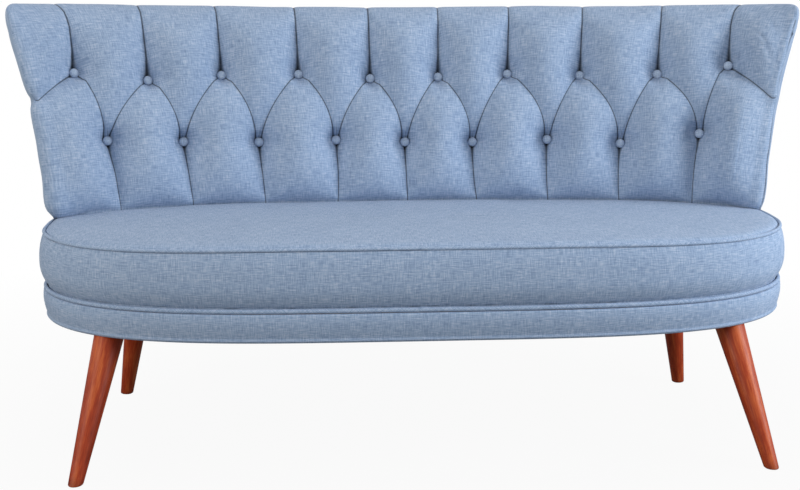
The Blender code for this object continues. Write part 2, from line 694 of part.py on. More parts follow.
def back_slab(near, far, low, high, first, last, spread=0.0):
    """Curved layer of the back's frame between two depths, two heights and two frame stations."""
    rings = []
    levels = knots_between(low, high)
    for segment in range(first, last + 1):
        share = frame_share(segment)
        if segment in (first, last):
            share += math.copysign(spread / OUTER_LENGTHS[-1], segment - (first + last) / 2)
        outside = [outer_point(share, z, near) for z in levels]
        inside = [outer_point(share, z, far) for z in reversed(levels)]
        rings.append(outside + inside)
    return loft(rings, ladder_caps=True)


def build_back_frame(rear_rail):
    """Bottom and top rails, posts between them, the board on their front and the padded outside panel."""
    near, far = RAIL_LAYER, RAIL_LAYER + BACK_RAIL_THICKNESS
    seat = RAIL_TOP + GAP
    bottom_rail = add_object("back_bottom_rail",
                             back_slab(near, far, seat, BOTTOM_RAIL_TOP, 0, FRAME_SEGMENTS), FRAME_WOOD)
    top_rail_bottom = FRAME_TOP - TOP_RAIL_HEIGHT
    add_object("back_top_rail",
               back_slab(near, far, top_rail_bottom, FRAME_TOP, 0, FRAME_SEGMENTS), FRAME_WOOD)
    for label, segment in zip(("left_end", "left", "right", "right_end"), POST_SEGMENTS):
        add_object("back_post_" + label,
                   back_slab(near, far, BOTTOM_RAIL_TOP + GAP, top_rail_bottom - GAP, segment, segment + 1),
                   FRAME_WOOD)
    add_object("back_board", back_slab(BOARD_LAYER, BOARD_LAYER + BOARD_THICKNESS, BACK_BOTTOM, FRAME_TOP,
                                       0, FRAME_SEGMENTS), PLYWOOD)
    add_object("outside_back", back_slab(0.0, COVER_THICKNESS, BACK_BOTTOM, FRAME_TOP, 0, FRAME_SEGMENTS),
               FABRIC, smooth_angle=50)
    for hand, side in (("left", -1.0), ("right", 1.0)):
        place = outer_point(side * BACK_BOLT_SHARE, seat, RAIL_LAYER + BACK_RAIL_THICKNESS / 2)
        build_back_bolt(hand, place, rear_rail, bottom_rail)


def build_back_bolt(hand, place, rear_rail, bottom_rail):
    """Bolt up through the rear rail into the back's bottom rail, its head sunk in a counterbore."""
    frame = Matrix.Translation((place.x, place.y, 0.0))
    head_bottom = RAIL_BOTTOM + COUNTERBORE_DEPTH - BACK_BOLT_HEAD_HEIGHT - GAP
    neck = head_bottom + BACK_BOLT_HEAD_HEIGHT
    tip = neck + BACK_BOLT_LENGTH
    sides = LEG_BOLT_SIDES
    shank, head = BACK_BOLT_DIAMETER / 2, BACK_BOLT_HEAD_DIAMETER / 2
    profile = ((head, head_bottom), (head, neck), (shank, neck), (shank, tip))
    body = stack([circle(radius, z, sides) for radius, z in profile])
    body.transform(frame)
    add_object("back_bolt_" + hand, body, STEEL, smooth_angle=50)
    hole = add_cutter("back_bolt_hole_" + hand,
                      cylinder(shank + BOLT_CLEARANCE, head_bottom, tip + GAP, sides * 2, frame))
    sink = add_cutter("back_bolt_sink_" + hand,
                      cylinder(head + BOLT_CLEARANCE, RAIL_BOTTOM - COUNTERBORE_DEPTH,
                               RAIL_BOTTOM + COUNTERBORE_DEPTH, sides * 2, frame))
    cut(rear_rail, hole)
    cut(rear_rail, sink)
    cut(bottom_rail, hole)


def pad_shares():
    """Stations along the pad: a few to each half pitch, and the wing ends beyond the last button."""
    steps = COLUMNS_PER_HALF_PITCH * (TOP_ROW_COUNT - 1)
    inner = [LAST_BUTTON_SHARE * i / steps for i in range(-steps, steps + 1)]
    return [-1.0] + inner + [1.0]


def crest_height(share):
    return BACK_TOP_MIDDLE + WING_RISE * share ** 2


def corner_drop(margin):
    """Fall of the top edge at the rounded wing corner, by the distance left to the wing's tip."""
    past = max(0.0, 1 - margin / WING_CORNER_RUN)
    return WING_CORNER_DROP * (1 - math.sqrt(max(0.0, 1 - past ** 2)))


def build_pad():
    """Tufted pad: pleats and hollows in front, a rolled top edge and wings, and a pocket for the frame."""
    rings = [pad_ring(share) for share in pad_stations()]
    for angle in WING_ROLL_ANGLES:
        rings.append(wing_ring(1.0, math.radians(angle)))
        rings.insert(0, wing_ring(-1.0, math.radians(angle)))
    return add_object("back_pad", loft(rings), FABRIC, smooth_angle=60)


def front_levels(share, shoulder):
    """Heights down the front of the pad, from the seat to the shoulder of the top roll."""
    low, top = row_height(LOWER_ROW_HEIGHT, share), row_height(TOP_ROW_HEIGHT, share)
    parts = ((BACK_BOTTOM, low, SKIRT_LEVELS), (low, top, DIAMOND_LEVELS), (top, shoulder, CROWN_LEVELS))
    return [a + (b - a) * f for a, b, fractions in parts for f in fractions]


def pad_section(share, shoulder, roll, front_at, rear_at, pocket_at):
    """Closed section of the pad: up the front, over the roll, down the rear rim and the pocket."""
    ring = [front_at(z) for z in front_levels(share, shoulder)]
    front, rear = ring[-1], rear_at(shoulder)
    for angle in TOP_ROLL_ANGLES:
        turn = math.radians(angle)
        point = front.lerp(rear, (1 - math.cos(turn)) / 2)
        point.z = shoulder + roll * math.sin(turn)
        ring.append(point)
    ring.append(rear)
    ring.append(rear_at(POCKET_TOP))
    ring.extend(pocket_at(z) for z in reversed(knots_between(BACK_BOTTOM, POCKET_TOP)))
    return ring


def pad_stations():
    """Pad stations with the two ends of the frame's pocket added between them."""
    edge = FRAME_END_SHARE + LAYER_GAP / OUTER_LENGTHS[-1]
    beyond = edge + GAP
    return sorted(pad_shares() + [side * s for side in (-1, 1) for s in (edge, beyond)])


def pocket_point(share, z):
    """Point of the pocket's front wall, on the straight run between two frame stations."""
    place = (share / FRAME_END_SHARE + 1) / 2 * FRAME_SEGMENTS
    low = max(0, min(FRAME_SEGMENTS - 1, math.floor(place)))
    a = outer_point(frame_share(low), z, POCKET_DEPTH)
    b = outer_point(frame_share(low + 1), z, POCKET_DEPTH)
    return a.lerp(b, place - low)


def pad_ring(share):
    crest = crest_height(share) - corner_drop((1 - abs(share)) * PAD_HALF_LENGTH + WING_EDGE_RUN)
    edge = FRAME_END_SHARE + LAYER_GAP / OUTER_LENGTHS[-1]
    inside = abs(share) <= edge + GAP / 2

    def front_at(z):
        return tufted_point(share, z, tuft_sink(share, z))

    def rear_at(z):
        return outer_point(share, z, 0.0)

    def pocket_at(z):
        return pocket_point(share, z) if inside else rear_at(z)

    return pad_section(share, PAD_SHOULDER, crest - PAD_SHOULDER, front_at, rear_at, pocket_at)


def wing_point(side, angle, z, hand, spread=0.0):
    """Point of the half-round wing edge: hand 1 on its front half, -1 on its outside half."""
    front, rear = front_point(side, z, 0.0), outer_point(side, z, 0.0)
    middle = (front + rear) / 2
    spoke = front - middle
    forward = Vector((side * abs(spoke.y), -abs(spoke.x), 0.0))
    outward = spoke * (hand * math.cos(angle)) + forward * math.sin(angle)
    return middle + outward * (1 + spread / spoke.length)


def wing_ring(side, angle):
    """Section of the rounded wing edge, turned from the front face towards the outside face."""
    crest = crest_height(side) - corner_drop(WING_EDGE_RUN * (1 - math.sin(angle)))
    shoulder = min(PAD_SHOULDER, crest - PAD_ROLL_HEIGHT / 3)

    def front_at(z):
        return wing_point(side, angle, z, 1.0)

    def rear_at(z):
        return wing_point(side, angle, z, -1.0)

    return pad_section(side, shoulder, crest - shoulder, front_at, rear_at, rear_at)


# Buttons

def circle(radius, z, sides):
    turns = [math.tau * j / sides for j in range(sides)]
    return [Vector((radius * math.cos(turn), radius * math.sin(turn), z)) for turn in turns]


def button_mesh():
    """Covered button: a back rim, a belly, and a dome on its front."""
    profile = ((BUTTON_BACK_SHARE, 0.0), (1.0, BUTTON_BELLY_SHARE), *BUTTON_DOME)
    return stack([circle(BUTTON_DIAMETER / 2 * r, BUTTON_HEIGHT * h, BUTTON_SIDES) for r, h in profile])


def button_frame(share, row_z):
    """Place of a button on the sunk front face, and its axis, pointing out of the pad."""
    step = BUTTON_DIAMETER / 2 / PAD_HALF_LENGTH
    centre = tufted_point(share, row_z, BUTTON_SINK)
    along = tufted_point(share + step, row_z, 0.0) - tufted_point(share - step, row_z, 0.0)
    above = tufted_point(share, row_z + BUTTON_DIAMETER, 0.0)
    below = tufted_point(share, row_z - BUTTON_DIAMETER, 0.0)
    up = above - below
    axis = along.cross(up).normalized()
    return centre, axis, along.normalized()


def seat_button(tree, centre, axis, along):
    """Slide the button along its axis until it clears the pad all over its back by the set distance."""
    start = centre + axis * HALF_PITCH
    across = axis.cross(along)
    lift = None
    rim = 1 - BUTTON_BACK_SHARE
    for ring in (0.0, 0.4, BUTTON_BACK_SHARE, 0.9, 1.0):
        for turn in range(BUTTON_RAYS):
            angle = math.tau * turn / BUTTON_RAYS
            offset = (along * math.cos(angle) + across * math.sin(angle)) * ring * BUTTON_DIAMETER / 2
            hit = tree.ray_cast(start + offset, -axis)[0]
            if hit is None:
                continue
            back = BUTTON_HEIGHT * BUTTON_BELLY_SHARE * max(0.0, (ring - BUTTON_BACK_SHARE) / rim)
            height = (hit - centre).dot(axis) - back
            lift = height if lift is None else max(lift, height)
    return centre + axis * (lift + BUTTON_CLEARANCE)


def build_buttons(pad):
    tree = BVHTree.FromObject(pad, bpy.context.evaluated_depsgraph_get())
    rows = (("top", TOP_ROW_COUNT, TOP_ROW_HEIGHT), ("lower", LOWER_ROW_COUNT, LOWER_ROW_HEIGHT))
    for row, count, height in rows:
        for number in range(count):
            share = (2 * number - (count - 1)) * HALF_PITCH / PAD_HALF_LENGTH
            centre, axis, along = button_frame(share, row_height(height, share))
            place = seat_button(tree, centre, axis, along)
            button = add_object("button_" + row + "_" + str(number + 1).zfill(2), button_mesh(),
                                PALE_FABRIC, smooth_angle=60)
            turn = Matrix((along, axis.cross(along), axis)).transposed()
            button.matrix_world = Matrix.Translation(place) @ turn.to_4x4()


def centre_on_origin():
    """Hang every piece from one empty that sets the middle of the whole over the origin."""
    bpy.context.view_layer.update()
    graph = bpy.context.evaluated_depsgraph_get()
    ys = []
    for obj in bpy.data.objects:
        if obj.type == "MESH" and not obj.hide_render:
            evaluated = obj.evaluated_get(graph)
            ys.extend((evaluated.matrix_world @ v.co).y for v in evaluated.data.vertices)
    root = bpy.data.objects.new("sofa_root", None)
    bpy.context.collection.objects.link(root)
    for obj in bpy.data.objects:
        if obj is not root:
            obj.parent = root
    root.location.y = -(min(ys) + max(ys)) / 2


def main():
    clear_scene()
    leg_places = build_legs()
    rear_rail = build_base(leg_places)
    build_piping()
    build_welt()
    build_cushion()
    build_back_frame(rear_rail)
    pad = build_pad()
    bpy.context.view_layer.update()
    build_buttons(pad)
    centre_on_origin()


main()
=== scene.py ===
import logging
import math
from dataclasses import dataclass, field
from enum import Enum

import bmesh
import bpy
import numpy as np
from mathutils import Matrix, Vector


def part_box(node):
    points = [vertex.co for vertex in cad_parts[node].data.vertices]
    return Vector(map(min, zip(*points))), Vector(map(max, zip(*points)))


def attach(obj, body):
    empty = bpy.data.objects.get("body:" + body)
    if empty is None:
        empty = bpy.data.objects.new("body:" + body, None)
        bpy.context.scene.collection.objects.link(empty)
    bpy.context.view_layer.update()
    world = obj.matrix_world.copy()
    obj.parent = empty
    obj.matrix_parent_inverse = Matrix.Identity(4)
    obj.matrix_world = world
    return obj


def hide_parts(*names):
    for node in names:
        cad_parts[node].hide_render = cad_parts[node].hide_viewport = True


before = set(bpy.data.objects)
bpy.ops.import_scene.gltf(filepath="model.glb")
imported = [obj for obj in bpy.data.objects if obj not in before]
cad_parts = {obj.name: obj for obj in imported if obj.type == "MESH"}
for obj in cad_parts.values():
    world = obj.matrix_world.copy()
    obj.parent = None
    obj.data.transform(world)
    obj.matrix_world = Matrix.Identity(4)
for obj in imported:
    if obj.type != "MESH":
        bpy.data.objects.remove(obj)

Array = np.ndarray
Socket = bpy.types.NodeSocket
Material = bpy.types.Material
Piece = bpy.types.Object
Pair = tuple[float, float]
Triple = tuple[float, float, float]

LOG = logging.getLogger("loveseat")
BODY = "root"
CLOTH_MAP = "cloth"
TURNED_MAP = "turned"
# Attribute names of the pleat distances that the painted pleat shade reads
PLEAT_GAP = "pleat_gap"
PLEAT_SIDE = "pleat_side"
SAMPLES = 2001
FRAME_SHARE = 0.95
FAR_FROM_PLEATS = 0.03
LINEN = (0.176, 0.258, 0.408), (0.280, 0.378, 0.545), (0.450, 0.532, 0.665)
# Paler copy of the cover's linen for the buttons: painted light
PAINTED_LIGHT_LINEN = (0.29, 0.38, 0.53), (0.42, 0.53, 0.70), (0.57, 0.67, 0.82)
WHITE = (1.0, 1.0, 1.0, 1.0)


class Hand(Enum):
    """Side of the loveseat, seen by someone who faces it."""

    LEFT = -1.0
    RIGHT = 1.0


class Row(Enum):
    """The two rows of covered buttons."""

    TOP = "top"
    LOWER = "lower"


# Soft irregularity

def soft_noise(u: Array, w: Array, pitch: float, seed: int) -> Array:
    """Smooth bumps between -1 and 1 over a flat surface.

    Args:
        u: First surface coordinate, in metres.
        w: Second surface coordinate, in metres.
        pitch: Distance from one bump to the next, in metres.
        seed: Number that picks the pattern.

    Returns:
        One value for each point.
    """
    size = 128
    table = np.random.default_rng(seed).uniform(-1.0, 1.0, (size, size))
    x, y = u / pitch, w / pitch
    i, j = np.floor(x).astype(int), np.floor(y).astype(int)
    fx, fy = x - i, y - j
    fx, fy = fx * fx * (3 - 2 * fx), fy * fy * (3 - 2 * fy)
    low = table[i % size, j % size] * (1 - fx) + table[(i + 1) % size, j % size] * fx
    high = table[i % size, (j + 1) % size] * (1 - fx) + table[(i + 1) % size, (j + 1) % size] * fx
    return low * (1 - fy) + high * fy


def ease(value: Array, low: float, high: float) -> Array:
    """Smooth step from 0 at low to 1 at high."""
    t = np.clip((value - low) / (high - low), 0.0, 1.0)
    return t * t * (3 - 2 * t)


def unit(vectors: Array) -> Array:
    """Vectors scaled to length one along the last axis."""
    length = np.linalg.norm(vectors, axis=-1, keepdims=True)
    return vectors / np.maximum(length, 1e-9)


# Meshes

def grid_faces(rows: int, cols: int, wrap_rows: bool, wrap_cols: bool) -> tuple[Array, Array]:
    """Quads of a grid of points, with the corners' places in the grid before wrapping.

    Args:
        rows: Number of rows of points.
        cols: Number of columns of points.
        wrap_rows: Whether the last row joins the first.
        wrap_cols: Whether the last column joins the first.

    Returns:
        The point numbers of each quad, and each corner's row and column before wrapping.
    """
    r = np.arange(rows if wrap_rows else rows - 1)
    c = np.arange(cols if wrap_cols else cols - 1)
    rr, cc = np.meshgrid(r, c, indexing="ij")
    corners = np.stack([np.stack([rr, cc], -1), np.stack([rr, cc + 1], -1),
                        np.stack([rr + 1, cc + 1], -1), np.stack([rr + 1, cc], -1)], axis=2)
    corners = corners.reshape(-1, 4, 2)
    numbers = (corners[..., 0] % rows) * cols + corners[..., 1] % cols
    return numbers, corners


def make_piece(name: str, mesh: bpy.types.Mesh) -> Piece:
    """Object at the origin that shows a mesh, in the scene's own collection."""
    piece = bpy.data.objects.new(name, mesh)
    bpy.context.scene.collection.objects.link(piece)
    return piece


def face_outwards(mesh: bpy.types.Mesh) -> None:
    """Turn a closed mesh's faces outwards, judged by the sign of its volume."""
    bm = bmesh.new()
    bm.from_mesh(mesh)
    inside_out = bm.calc_volume(signed=True) < 0
    bm.free()
    if inside_out:
        mesh.flip_normals()


def zip_rows(ring: Array) -> list[tuple[int, int, int]]:
    """Triangles that close a flat ring from its two ends towards its middle.

    Args:
        ring: Places round the ring, in order.

    Returns:
        The corner numbers of every triangle.
    """
    low, high, corners = 0, len(ring) - 1, []
    while high - low > 1:
        step_up = np.linalg.norm(ring[low + 1] - ring[high])
        if step_up <= np.linalg.norm(ring[low] - ring[high - 1]):
            corners.append((low, low + 1, high))
            low += 1
        else:
            corners.append((low, high - 1, high))
            high -= 1
    return corners


def grid_piece(name: str, points: Array, cloth: Array, wrap_rows: bool = False,
               wrap_cols: bool = False, cap_rows: bool = False, cap_cols: bool = False) -> Piece:
    """Smooth piece from a grid of points, with the cloth's own flat coordinates as its map.

    Args:
        name: The piece's name.
        points: Places, as rows by columns by 3.
        cloth: Flat coordinates, with one more row or column where the grid wraps.
        wrap_rows: Whether the last row joins the first.
        wrap_cols: Whether the last column joins the first.
        cap_rows: Whether the first and last rows are closed with a face each.
        cap_cols: Whether the first and last columns are closed with a face each.

    Returns:
        The finished object.
    """
    rows, cols = points.shape[:2]
    numbers, corners = grid_faces(rows, cols, wrap_rows, wrap_cols)
    faces = numbers.tolist()
    flat = cloth[corners[..., 0], corners[..., 1]].reshape(-1, 2)
    places = points.reshape(-1, 3)
    first, last = list(range(cols))[::-1], list(range((rows - 1) * cols, rows * cols))
    for ring in (first, last) if cap_rows else ():
        faces.append(ring)
        flat = np.vstack([flat, places[ring][:, :2]])
    if cap_cols:
        for col in (0, cols - 1):
            closing = zip_rows(points[:, col])
            faces += [[row * cols + col for row in corner] for corner in closing]
            front = np.array([min(corner) for corner in closing for _ in corner])
            heights = np.array([points[row, col, 2] for corner in closing for row in corner])
            flat = np.vstack([flat, np.column_stack([cloth[front, col, 0], heights])])
    mesh = bpy.data.meshes.new(name)
    mesh.from_pydata(places.tolist(), [], faces)
    layer = mesh.uv_layers.new(name=CLOTH_MAP)
    layer.data.foreach_set("uv", flat.astype(np.float32).ravel())
    mesh.shade_smooth()
    mesh.update()
    face_outwards(mesh)
    return make_piece(name, mesh)


def dress(piece: Piece, material: Material, slot: str, *nodes: str) -> Piece:
    """Give a new piece its finish, its place on the body and the nodes that it stands for.

    Args:
        piece: The finished object.
        material: Its finish.
        slot: Not used.
        nodes: Names of the frame's nodes that it replaces.

    Returns:
        The same object.
    """
    piece.data.materials.clear()
    piece.data.materials.append(material)
    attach(piece, BODY)
    if nodes:
        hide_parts(*nodes)
    LOG.info("%s: %d faces, stands for %s", piece.name, len(piece.data.polygons), ", ".join(nodes))
    return piece


def only(piece: Piece) -> None:
    """Select one object alone and make it active."""
    bpy.ops.object.select_all(action="DESELECT")
    piece.select_set(True)
    bpy.context.view_layer.objects.active = piece


def apply_all(piece: Piece) -> None:
    """Apply every modifier on a piece, in order."""
    only(piece)
    for modifier in list(piece.modifiers):
        bpy.ops.object.modifier_apply(modifier=modifier.name)


# Finishes

@dataclass
class Nodes:
    """Short way to lay out the shader nodes of one finish."""

    name: str
    material: Material = field(init=False)

    def __post_init__(self) -> None:
        """Start the finish with its surface shader alone."""
        self.material = bpy.data.materials.new(self.name)
        self.material.use_nodes = True

    @property
    def shader(self) -> bpy.types.Node:
        """The surface shader."""
        return self.material.node_tree.nodes["Principled BSDF"]

    def add(self, kind: str, **settings: object) -> bpy.types.Node:
        """New node of a kind, with its settings."""
        node = self.material.node_tree.nodes.new(kind)
        for key, value in settings.items():
            setattr(node, key, value)
        return node

    def join(self, source: Socket, target: Socket) -> None:
        """Link two sockets."""
        self.material.node_tree.links.new(source, target)

    def cloth_place(self) -> Socket:
        """The piece's flat cloth coordinates."""
        return self.add("ShaderNodeUVMap", uv_map=CLOTH_MAP).outputs["UV"]

    def object_place(self) -> Socket:
        """Place in the loveseat's own frame."""
        return self.add("ShaderNodeTexCoord").outputs["Object"]

    def turned_place(self) -> Socket:
        """Place in a turned leg's own frame, with its length along Z."""
        return self.add("ShaderNodeAttribute", attribute_name=TURNED_MAP).outputs["Vector"]

    def scaled(self, place: Socket, scale: Triple,
               turn: float = 0.0) -> Socket:
        """Coordinates stretched on each axis and turned about Z."""
        mapping = self.add("ShaderNodeMapping")
        mapping.inputs["Scale"].default_value = scale
        mapping.inputs["Rotation"].default_value = (0.0, 0.0, turn)
        self.join(place, mapping.inputs["Vector"])
        return mapping.outputs["Vector"]

    def noise(self, place: Socket, scale: float = 1.0, detail: float = 2.0,
              roughness: float = 0.5) -> Socket:
        """Value of a noise pattern."""
        node = self.add("ShaderNodeTexNoise")
        node.inputs["Scale"].default_value = scale
        node.inputs["Detail"].default_value = detail
        node.inputs["Roughness"].default_value = roughness
        self.join(place, node.inputs["Vector"])
        return node.outputs["Fac"]

    def calc(self, operation: str, *values: Socket | float) -> Socket:
        """Result of a math node on sockets and plain numbers."""
        node = self.add("ShaderNodeMath", operation=operation)
        for value, target in zip(values, node.inputs):
            if isinstance(value, Socket):
                self.join(value, target)
            else:
                target.default_value = value
        return node.outputs[0]

    def sum(self, *weighted: tuple[Socket, float]) -> Socket:
        """Weighted sum of values."""
        total = 0.0
        for value, weight in weighted:
            total = self.calc("MULTIPLY_ADD", value, weight, total)
        return total

    def ramp(self, value: Socket,
             *stops: tuple[float, tuple[float, ...]]) -> Socket:
        """Colour by value, through stops of position and colour."""
        node = self.add("ShaderNodeValToRGB")
        elements = node.color_ramp.elements
        while len(elements) < len(stops):
            elements.new(0.5)
        for element, (position, colour) in zip(elements, stops):
            element.position = position
            element.color = (*colour, 1.0)
        self.join(value, node.inputs["Fac"])
        return node.outputs["Color"]

    def between(self, value: Socket, low: float, high: float, to_low: float,
                to_high: float) -> Socket:
        """Value moved from one range to another."""
        node = self.add("ShaderNodeMapRange")
        ends = {"From Min": low, "From Max": high, "To Min": to_low, "To Max": to_high}
        for key, number in ends.items():
            node.inputs[key].default_value = number
        self.join(value, node.inputs["Value"])
        return node.outputs["Result"]

    def shade(self, colour: Socket, factor: Socket) -> Socket:
        """Colour times a brightness."""
        node = self.add("ShaderNodeVectorMath", operation="SCALE")
        self.join(colour, node.inputs[0])
        self.join(factor, node.inputs["Scale"])
        return node.outputs[0]

    def split(self, place: Socket) -> tuple[Socket, ...]:
        """The three parts of a place."""
        node = self.add("ShaderNodeSeparateXYZ")
        self.join(place, node.inputs[0])
        return tuple(node.outputs)

    def weave(self, place: Socket, pitch: float) -> Socket:
        """Height of a plain weave whose threads are a pitch apart."""
        turn = math.pi / pitch
        turns = [self.calc("MULTIPLY", part, turn) for part in self.split(place)[:2]]
        return self.calc("MULTIPLY", *(self.calc("SINE", value) for value in turns))

    def surface(self, values: dict[str, float | tuple[float, ...]]) -> None:
        """Set uniform values on the surface shader."""
        for key, value in values.items():
            self.shader.inputs[key].default_value = value

    def bump(self, height: Socket, distance: float, strength: float = 1.0) -> None:
        """Bump on the shader's normal."""
        node = self.add("ShaderNodeBump")
        node.inputs["Distance"].default_value = distance
        node.inputs["Strength"].default_value = strength
        self.join(height, node.inputs["Height"])
        self.join(node.outputs["Normal"], self.shader.inputs["Normal"])


@dataclass(frozen=True)
class Finish:
    """What every finish has: a name, and nodes laid out on one material."""

    name: str

    def make(self) -> Material:
        """Build the finish.

        Returns:
            The material.
        """
        n = Nodes(self.name)
        self.lay_out(n)
        return n.material

    def lay_out(self, n: Nodes) -> None:
        """Add the finish's own nodes."""
        raise NotImplementedError


@dataclass(frozen=True)
class LinenFinish(Finish):
    """Heathered plain-weave linen: slubs along both threads over a soft mottle."""

    dark: Triple
    middle: Triple
    light: Triple
    pitch: float = 0.0009
    turn: float = 0.0
    paints_pleat_shade: bool = False
    slub: Pair = (60.0, 640.0)
    fleck: float = 700.0
    mottle: float = 14.0
    # Width, darkness and reach of the painted shade along the pleats
    painted_pleat_half: Pair = (0.0003, 0.0022)
    painted_pleat_dark: float = 0.22
    painted_pleat_reach: Pair = (0.0050, 0.0070)

    def lay_out(self, n: Nodes) -> None:
        """Add slubs, flecks, weave and sheen, and on the tufted pad painted shade along the pleats.
        """
        place = n.scaled(n.cloth_place(), (1.0, 1.0, 1.0), self.turn)
        weft = n.noise(n.scaled(place, (*self.slub, 1.0)), roughness=0.55)
        warp = n.noise(n.scaled(place, (*self.slub[::-1], 1.0)), roughness=0.55)
        fleck = n.noise(n.scaled(place, (self.fleck, self.fleck, 1.0)))
        cloud = n.noise(n.scaled(place, (self.mottle, self.mottle, 1.0)))
        weave = n.weave(place, self.pitch)
        heather = n.sum((weft, 0.44), (warp, 0.38), (fleck, 0.11), (cloud, 0.07))
        colour = n.ramp(heather, (0.37, self.dark), (0.50, self.middle), (0.64, self.light))
        colour = n.shade(colour, n.between(weave, -1.0, 1.0, 0.93, 1.05))
        # Painted shade: the colour is darkened along every pleat, where the fold's shade falls
        if self.paints_pleat_shade:
            colour = n.shade(colour, self.painted_pleat_shade(n))
        n.join(colour, n.shader.inputs["Base Color"])
        n.surface({"Roughness": 0.88, "Specular IOR Level": 0.3, "Sheen Weight": 0.10,
                   "Sheen Roughness": 0.5})
        n.bump(n.sum((weave, 0.45), (weft, 0.8), (warp, 0.8)), 0.00035, 0.8)

    def painted_pleat_shade(self, n: Nodes) -> Socket:
        """Painted shade beside the pleats: the colour darkened in the fold, whole away from it."""
        gap, side = (n.add("ShaderNodeAttribute", attribute_name=name).outputs["Fac"]
                     for name in (PLEAT_GAP, PLEAT_SIDE))
        # Painted dark line along the pleat, fading out over its half width
        inside = n.between(n.calc("ABSOLUTE", side), *self.painted_pleat_half, self.painted_pleat_dark, 1.0)
        return n.calc("MAXIMUM", inside, n.between(gap, *self.painted_pleat_reach, 0.0, 1.0))


@dataclass(frozen=True)
class StainedWood(Finish):
    """Turned wood under a satin reddish-brown stain, its grain along the leg."""

    name: str = "leg_stain"
    dark: Triple = (0.17, 0.015, 0.004)
    middle: Triple = (0.34, 0.042, 0.010)
    light: Triple = (0.56, 0.130, 0.034)
    # Height over which the leg grows darker towards its foot
    dark_foot_run: float = 0.012

    def lay_out(self, n: Nodes) -> None:
        """Add bands, pores, a darker foot and a thin coat."""
        place = n.turned_place()
        bands = n.noise(n.scaled(place, (70.0, 70.0, 7.0)), detail=3.0, roughness=0.6)
        pores = n.noise(n.scaled(place, (900.0, 900.0, 40.0)), detail=2.0, roughness=0.7)
        flecks = n.noise(n.scaled(place, (330.0, 330.0, 22.0)), detail=3.0)
        figure = n.sum((bands, 0.55), (pores, 0.22), (flecks, 0.23))
        colour = n.ramp(figure, (0.34, self.dark), (0.50, self.middle), (0.66, self.light))
        # The lowest 12 mm of the leg is darker towards the floor
        foot_darkening = n.between(n.split(place)[2], 0.0, self.dark_foot_run, 0.72, 1.0)
        n.join(n.shade(colour, foot_darkening), n.shader.inputs["Base Color"])
        n.join(n.between(pores, 0.3, 0.7, 0.48, 0.36), n.shader.inputs["Roughness"])
        n.surface({"Specular IOR Level": 0.22, "Coat Weight": 0.02, "Coat Roughness": 0.25})
        n.bump(n.sum((pores, 0.7), (bands, 0.3)), 0.00025, 0.5)


@dataclass(frozen=True)
class BareTimber(Finish):
    """Sawn timber or thin plywood, left bare inside the upholstery."""

    dark: Triple
    light: Triple
    grain: Triple = (6.0, 70.0, 70.0)

    def lay_out(self, n: Nodes) -> None:
        """Add rings and saw marks."""
        place = n.object_place()
        rings = n.noise(n.scaled(place, self.grain), detail=4.0, roughness=0.6)
        saw = n.noise(n.scaled(place, (400.0, 60.0, 60.0)), detail=1.0)
        colour = n.ramp(n.sum((rings, 0.8), (saw, 0.2)), (0.36, self.dark), (0.64, self.light))
        n.join(colour, n.shader.inputs["Base Color"])
        n.surface({"Roughness": 0.8})
        n.bump(n.sum((rings, 0.5), (saw, 0.5)), 0.0004, 0.5)


@dataclass(frozen=True)
class ZincPlate(Finish):
    """Zinc-plated steel of plates and bolts, slightly clouded."""

    name: str = "zinc_plate"

    def lay_out(self, n: Nodes) -> None:
        """Add clouding and fine scratches."""
        place = n.object_place()
        cloud = n.noise(n.scaled(place, (160.0, 160.0, 160.0)), detail=3.0)
        scratch = n.noise(n.scaled(place, (1500.0, 90.0, 90.0)), detail=1.0)
        colour = n.ramp(cloud, (0.35, (0.42, 0.42, 0.40)), (0.65, (0.60, 0.61, 0.62)))
        n.join(colour, n.shader.inputs["Base Color"])
        n.surface({"Metallic": 1.0})
        n.join(n.between(scratch, 0.3, 0.7, 0.28, 0.5), n.shader.inputs["Roughness"])
        n.bump(scratch, 0.0001, 0.4)


@dataclass(frozen=True)
class HiddenCloth(Finish):
    """Black non-woven dust cloth or woven strap, read in the loveseat's own frame."""

    dark: Triple
    light: Triple
    pitch: float

    def lay_out(self, n: Nodes) -> None:
        """Add fibres and a coarse weave."""
        place = n.object_place()
        fibres = n.noise(n.scaled(place, (500.0, 500.0, 500.0)), detail=3.0, roughness=0.7)
        cloud = n.noise(n.scaled(place, (22.0, 22.0, 22.0)), detail=2.0)
        weave = n.weave(place, self.pitch)
        value = n.sum((fibres, 0.6), (cloud, 0.4))
        colour = n.ramp(value, (0.35, self.dark), (0.65, self.light))
        colour = n.shade(colour, n.between(weave, -1.0, 1.0, 0.8, 1.1))
        n.join(colour, n.shader.inputs["Base Color"])
        n.surface({"Roughness": 0.95})
        n.bump(n.sum((weave, 0.5), (fibres, 0.5)), 0.0003, 0.7)


